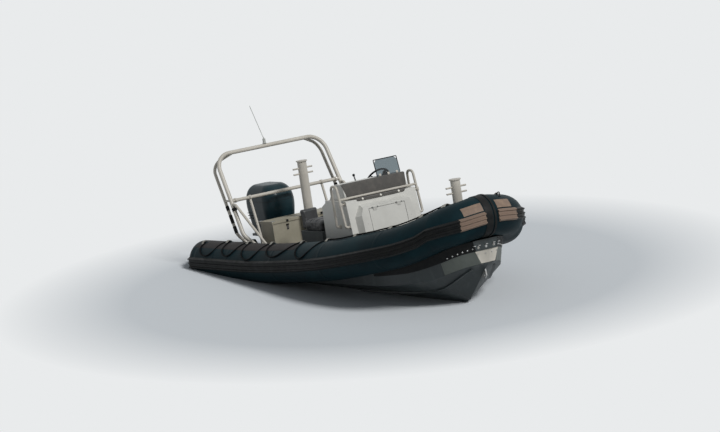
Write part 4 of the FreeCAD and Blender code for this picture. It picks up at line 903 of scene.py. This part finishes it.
def edge_piping(name, pad, stand, size, height):
    """Welt sewn round a pad at a height, on the pad's own surface."""
    bm = bmesh.new()
    bm.from_mesh(pad.data)
    tree = BVHTree.FromBMesh(bm)
    bm.free()
    middle = stand @ Vector((0, 0, height))
    loop = []
    for index in range(64):
        turn = tau * index / 64
        c, s = cos(turn), sin(turn)
        reach = 1 / max(abs(c), abs(s))
        way = Vector((c * reach * size[0] / 2, s * reach * size[1] / 2, 0)).normalized()
        way = (stand.to_3x3() @ way).normalized()
        spot, _ = land(tree, middle + way, -way)
        loop.append(spot + way * 0.001)
    strand(name, loop, PIPING_R, "seat_vinyl", closed=True)


def make_seats():
    """Two cushions with two rows of piping each, and two backrests with one."""
    for side, hand in HANDS.items():
        y = side * SEAT_Y
        pad, stand = make_pad("seat_cushion_" + hand, CUSHION, (CUSHION_X, y, CUSHION_Z), Matrix(), 0.012,
                              (-0.32, 0.32), 0.012, "seat_cushions")
        for height, place in ((0.042, "top"), (-0.05, "foot")):
            edge_piping("cushion_piping_" + place + "_" + hand, pad, stand, CUSHION, height)
        pad, stand = make_pad("seat_backrest_" + hand, BACKREST, (BACKREST_X, y, BACKREST_Z), BACKREST_TURN,
                              0.01, (-0.3, 0.3), 0.008, "seat_backrests")
        edge_piping("backrest_piping_" + hand, pad, stand, BACKREST, 0.018)


# Engine: the cowl's axis, the heights of its seal and upper line, and the bolts' profiles
COWL_AXIS = Vector((-0.11, 0, 0))
COWL_SEAL_Z, COWL_LINE_Z = 0.575, 0.94
LEG_BOLTS = [(-0.27, 0.3), (-0.43, 0.3), (-0.27, -0.3), (-0.41, -0.3)]
LEG_BOLT = [(0, 8), (9, 7.5), (10.5, 5), (10.5, -2), (0, -2)]
CLAMP_BOLT = [(0, 14), (9.5, 14), (11, 12), (11, 4), (19, 3), (20, 0), (0, 0)]
TILT_NUT = [(0, 12), (16, 11), (20, 7), (20, -2), (0, -2)]


def ring_on(tree, middle, count=48):
    """Closed loop of points round an upright form at the middle's height."""
    ways = [Vector((cos(tau * index / count), sin(tau * index / count), 0)) for index in range(count)]
    return [land(tree, middle + way * 1.2, -way)[0] for way in ways]


def make_engine_fittings():
    """Seal, line, latches and vents of the cowl, trim anode, inlets and bolts of the leg, and clamp bolts."""
    cowl = skin_of("engine_cowl")
    for name, z, r in (("cowl_seal", COWL_SEAL_Z, 0.006), ("cowl_upper_line", COWL_LINE_Z, 0.003)):
        strand(name, ring_on(cowl, COWL_AXIS + UP * z), r, "black_plastic", body="engine", closed=True)
    fittings = bmesh.new()
    for way, x in ((-1, -0.8), (1, 0.6)):
        spot, _ = land(cowl, (x, 0, 0.56), (-way, 0, 0))
        block(fittings, (26, 75, 30), spot + Vector((way * 0.008, 0, 0)), bevel=6, segments=3)
        block(fittings, (16, 45, 50), spot + Vector((way * 0.019, 0, 0.022)), bevel=5, segments=3)
    for row in range(5):
        spot, _ = land(cowl, (-0.9, 0, 0.99 - 0.024 * row), AHEAD)
        block(fittings, (24, 200 - 12 * row, 9), spot, Matrix.Rotation(0.4, 4, "Y"))
    for side in HANDS:
        for z in (0.69, 0.73, 0.77):
            spot, _ = land(cowl, (-0.33, side * 0.6, z), (0, -side, 0))
            block(fittings, (130, 22, 10), spot, Matrix.Rotation(side * 0.35, 4, "X"))
    finished("cowl_fittings", fittings, "black_plastic", body="engine")
    anode = bmesh.new()
    block(anode, (85, 50, 14), (-0.51, 0, -0.456), bevel=4)
    finished("trim_anode", anode, "steel", body="engine", finish="zinc")
    lower = skin_of("engine_leg", "gear_case")
    dark = bmesh.new()
    for side in HANDS:
        for row in range(5):
            spot, _ = land(lower, (-0.3 - 0.006 * row, side * 0.3, -0.52 - 0.017 * row), (0, -side, 0))
            block(dark, (75, 6, 8), spot, bevel=2)
        for x, z in LEG_BOLTS:
            seated(dark, lower, (x, side * 0.4, z), (0, -side, 0), (LEG_BOLT, 6))
    finished("leg_inlets_and_bolts", dark, "black_plastic", body="engine")
    clamp = skin_of("engine_clamp", "transom")
    bolts = bmesh.new()
    for side in HANDS:
        for z in (0.36, 0.3):
            seated(bolts, clamp, (0.4, side * 0.113, z), -AHEAD, (CLAMP_BOLT, 6))
        turned(bolts, TILT_NUT, (-0.048, side * 0.141, 0.362), (0, side, 0), 6)
    finished("clamp_bolts", bolts, "steel")


# Transom: places of the towing eyes and drains on its aft face, and an eye's bent rod as x and reach across
EYE_Y, EYE_Z, EYE_R = 0.56, 0.31, 0.006
EYE_ROD = [(0.004, -0.03), (-0.03, -0.03), (-0.058, -0.022), (-0.058, 0.022), (-0.03, 0.03), (0.004, 0.03)]
EYE_NUT = [(0, 8), (10.5, 8), (11.5, 6), (11.5, 0), (0, 0)]
DRAIN_Y, DRAIN_Z = 0.44, 0.155
DRAIN = [(28, 0), (28, 12), (31, 13), (33, 5), (45, 3), (46, 0), (28, 0)]
DRAIN_FLAP = [(0, 15), (33, 14.5), (36, 12.5), (33, 12), (0, 12)]


def make_transom_fittings():
    """Towing eyes, drain flanges and their flaps on the transom's aft face."""
    eyes, flaps = bmesh.new(), bmesh.new()
    for side, hand in HANDS.items():
        y = side * EYE_Y
        strand("towing_eye_" + hand, [(x, y + reach, EYE_Z) for x, reach in EYE_ROD], EYE_R, "steel")
        block(eyes, (4, 100, 40), (-0.0022, y, EYE_Z), bevel=1.5)
        for reach in (-0.03, 0.03):
            turned(eyes, EYE_NUT, (-0.004, y + reach, EYE_Z), -AHEAD, 6)
        drain = (0, side * DRAIN_Y, DRAIN_Z)
        turned(eyes, DRAIN, drain, -AHEAD, 32)
        turned(flaps, DRAIN_FLAP, drain, -AHEAD, 32)
    finished("transom_eyes_and_drains", eyes, "steel")
    finished("drain_flaps", flaps, "strake_rubber")


# Aft locker
STRAP_RIVET = [(0, 3), (6, 2.5), (9, 0), (0, 0)]
LID_CORNER_IN = 0.028


def make_aft_locker_fittings():
    """Two straps with buckles that hold the lid down, the lid's catches, and plates on its corners."""
    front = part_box("aft_locker")[1][0]
    lid_low, lid_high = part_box("aft_locker_lid")
    straps, buckles, catches, corners = bmesh.new(), bmesh.new(), bmesh.new(), bmesh.new()
    for y in (-0.295, 0.295):
        block(straps, (4, 36, 75), (front + 0.0022, y, 0.605), bevel=1.5)
        block(buckles, (8, 44, 22), (front + 0.006, y, 0.64), bevel=2)
        turned(buckles, STRAP_RIVET, (front + 0.004, y, 0.578), AHEAD, 16)
        block(catches, (5, 38, 30), (lid_high[0] + 0.0022, y, 0.7), bevel=1.5)
        block(catches, (9, 30, 10), (lid_high[0] + 0.006, y, 0.69))
    finished("aft_locker_straps", straps, "canvas")
    finished("aft_locker_buckles", buckles, "black_plastic")
    finished("lid_catches", catches, "black_plastic", body="lid")
    for x in (lid_low[0] + LID_CORNER_IN, lid_high[0] - LID_CORNER_IN):
        for side in HANDS:
            block(corners, (60, 60, 4), (x, side * (lid_high[1] - LID_CORNER_IN), lid_high[2] + 0.0018),
                  bevel=1.8)
    finished("lid_corners", corners, "steel", body="lid")


# Deck: hatches as x, length and width in mm, and tie-down rings as x and distance from the centre plane
HATCHES = [(3.72, 560, 460), (1.22, 220, 420)]
HATCH_PULL = [(0, 9.5), (20, 9.5), (24.5, 8.5), (26, 6), (0, 6)]
RINGS = [(3.35, 0.5), (4.2, 0.42), (2.2, 0.68), (1.0, 0.68)]
RING_BASE = [(0, 4), (28, 4), (32, 1), (32, -1), (0, -1)]
RING = [(17, 2), (19, 5), (22, 6), (25, 5), (27, 2), (22, -1), (17, 2)]


def make_deck_fittings():
    """Flush hatches, their pulls and folding tie-down rings on the deck."""
    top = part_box("deck")[1][2]
    frames, lids, rings = bmesh.new(), bmesh.new(), bmesh.new()
    for x, length, width in HATCHES:
        block(frames, (length, width, 6), (x, 0, top + 0.002), bevel=2.5)
        block(lids, (length - 50, width - 50, 6), (x, 0, top + 0.0045), bevel=2.5)
        pull_y = (width / 2 - 70) / 1000
        for y in (-pull_y, pull_y):
            turned(rings, HATCH_PULL, (x, y, top), UP, 28)
            block(rings, (30, 6, 3), (x, y, top + 0.0105), bevel=1)
    for x, y in RINGS:
        for side in HANDS:
            turned(rings, RING_BASE, (x, side * y, top), UP, 28)
            block(rings, (12, 34, 8), (x, side * y, top + 0.006))
            turned(rings, RING, (x + 0.014, side * y, top + 0.0055), UP, 28)
    finished("hatch_frames", frames, "frame_paint")
    finished("hatch_lids", lids, "deck_paint")
    finished("hatch_pulls_and_rings", rings, "steel")


# Posts: radius in mm of the tube and of its cross pins, and the bolts round its foot
POST_R, PIN_R = 67, 12
POST_BOLT_CIRCLE = 0.1
HEX_HEAD = [(0, 11), (8.5, 11), (9.5, 9), (9.5, 0), (0, 0)]
WASHER = [(9.5, 2.2), (16.5, 1.8), (17, 0), (0, 0)]
# Arch: legs above their knees, with the forward place of the front leg at a height and the distance from the
# centre. Sleeves are height, half length in mm, distance behind the front leg, and inner radius in mm.
ARCH_TOP_X, ARCH_TOP_Z, ARCH_RAKE = 0.055, 1.75, 0.485
LEG_KNEE_Y, LEG_KNEE_Z, LEG_LEAN = 0.945, 0.6, -0.0296
REAR_LEG_BACK = 0.18
SLEEVES = [(0.98, 35, REAR_LEG_BACK, 23.2), (0.82, 65, REAR_LEG_BACK, 23.2), (0.67, 55, REAR_LEG_BACK, 23.2),
           (0.965, 26, 0.0, 30.2)]
SLEEVE_KNOB = [(0, 14), (10, 13), (12, 8), (12, 0), (0, 0)]
ARCH_FOOT_XS, ARCH_FOOT_Y, ARCH_FOOT_TOP, ARCH_BOLT_CIRCLE = (0.855, 0.675), 0.765, 0.1065, 0.036
COLLAR = ring(25.5, 33, 20, 2, 3)
COLLAR_BOLT = [(0, 7), (6, 6.5), (7.5, 3), (7.5, 0), (0, 0)]
FERRULE_FOOT = [(22.2, 0), (30, 2), (31, 8), (24, 12), (22.2, 30)]
FERRULE_TIP = [(18, 70), (14, 78), (8.5, 82), (7, 94)]


def weld(bm, at, axis, r, size=4.5):
    """Bead of weld round a tube's foot, its radius and size in mm."""
    bead = [(r, size * 2), (r + size * 0.8, size * 1.3), (r + size * 1.6, 0), (r, 0), (r, size * 2)]
    turned(bm, bead, at, axis, 40)


def circle(middle, r, count):
    """Places spread round an upright axis, the first half a step from ahead."""
    turns = [tau * (index + 0.5) / count for index in range(count)]
    return [Vector((middle[0] + cos(turn) * r, middle[1] + sin(turn) * r, middle[2])) for turn in turns]


def make_frame_fittings():
    """Weld beads and bolts of the posts and the arch's feet, collars on the crossbar, the whip's ferrule."""
    beads, bolts, collars = bmesh.new(), bmesh.new(), bmesh.new()
    for node in ("bow_post", "aft_post"):
        low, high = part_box(node)
        x, foot_z, top_z = (low[0] + high[0]) / 2, low[2] + 0.012, high[2] - 0.012
        weld(beads, (x, 0, foot_z), UP, POST_R)
        weld(beads, (x, 0, top_z), -UP, POST_R)
        for spot in circle((x, 0, foot_z), POST_BOLT_CIRCLE, 8):
            turned(bolts, HEX_HEAD, spot, UP, 6)
            turned(bolts, WASHER, spot, UP, 18)
        for drop in (0.11, 0.19):
            for side in HANDS:
                weld(beads, (x, side * 0.066, high[2] - drop), (0, side, 0), PIN_R, 3)
    for x in ARCH_FOOT_XS:
        for side in HANDS:
            for spot in circle((x, side * ARCH_FOOT_Y, ARCH_FOOT_TOP), ARCH_BOLT_CIRCLE, 4):
                turned(bolts, [(r * 0.6, h * 0.7) for r, h in HEX_HEAD], spot, UP, 6)
    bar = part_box("arch_crossbar")
    middle = Vector(((bar[0][0] + bar[1][0]) / 2, 0, (bar[0][2] + bar[1][2]) / 2))
    for y in (-0.86, -0.615, 0.615, 0.86):
        turned(collars, COLLAR, middle + Vector((0, y, 0)), (0, 1, 0), 32)
        block(collars, (14, 30, 30), middle + Vector((0.036, y, 0)))
        turned(bolts, COLLAR_BOLT, middle + Vector((0.036, y, 0.015)), UP, 12)
    finished("frame_welds", beads, "frame_paint")
    finished("foot_bolts", bolts, "steel")
    finished("crossbar_collars", collars, "frame_paint")
    ferrule = bmesh.new()
    low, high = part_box("antenna")
    base = Vector((high[0] - 0.022, -0.055, low[2]))
    turned(ferrule, FERRULE_FOOT, base, UP, 28)
    turned(ferrule, FERRULE_TIP, base, UP, 24)
    finished("antenna_ferrule", ferrule, "black_plastic", finish="antenna_fibreglass")


def make_leg_sleeves():
    """Black rubber sleeves on the arch's legs, and a clamp with its knob on each front leg."""
    sleeves = bmesh.new()
    for side in HANDS:
        way = Vector((-ARCH_RAKE, side * LEG_LEAN, 1)).normalized()
        for z, half, back, r in SLEEVES:
            x = ARCH_TOP_X + ARCH_RAKE * (ARCH_TOP_Z - z) - back
            at = Vector((x, side * (LEG_KNEE_Y + LEG_LEAN * (z - LEG_KNEE_Z)), z))
            turned(sleeves, ring(r, r + 3, half, 1, 2), at, way, 28)
            if not back:
                block(sleeves, (30, 26, 40), at + Vector((0.045, 0, 0.012)), bevel=5)
                turned(sleeves, SLEEVE_KNOB, at + Vector((0.06, 0, 0.012)), AHEAD, 18)
    finished("arch_leg_sleeves", sleeves, "strake_rubber")


bpy.context.scene.view_settings.view_transform = "Standard"
make_camera()
make_lights()
make_floor()
finish_nodes()
make_lifelines()
make_tube_fittings()
make_bow_fittings()
make_console_cover()
make_windscreen_fittings()
make_dash()
make_console_fittings()
make_seats()
make_engine_fittings()
make_transom_fittings()
make_aft_locker_fittings()
make_deck_fittings()
make_frame_fittings()
make_leg_sleeves()
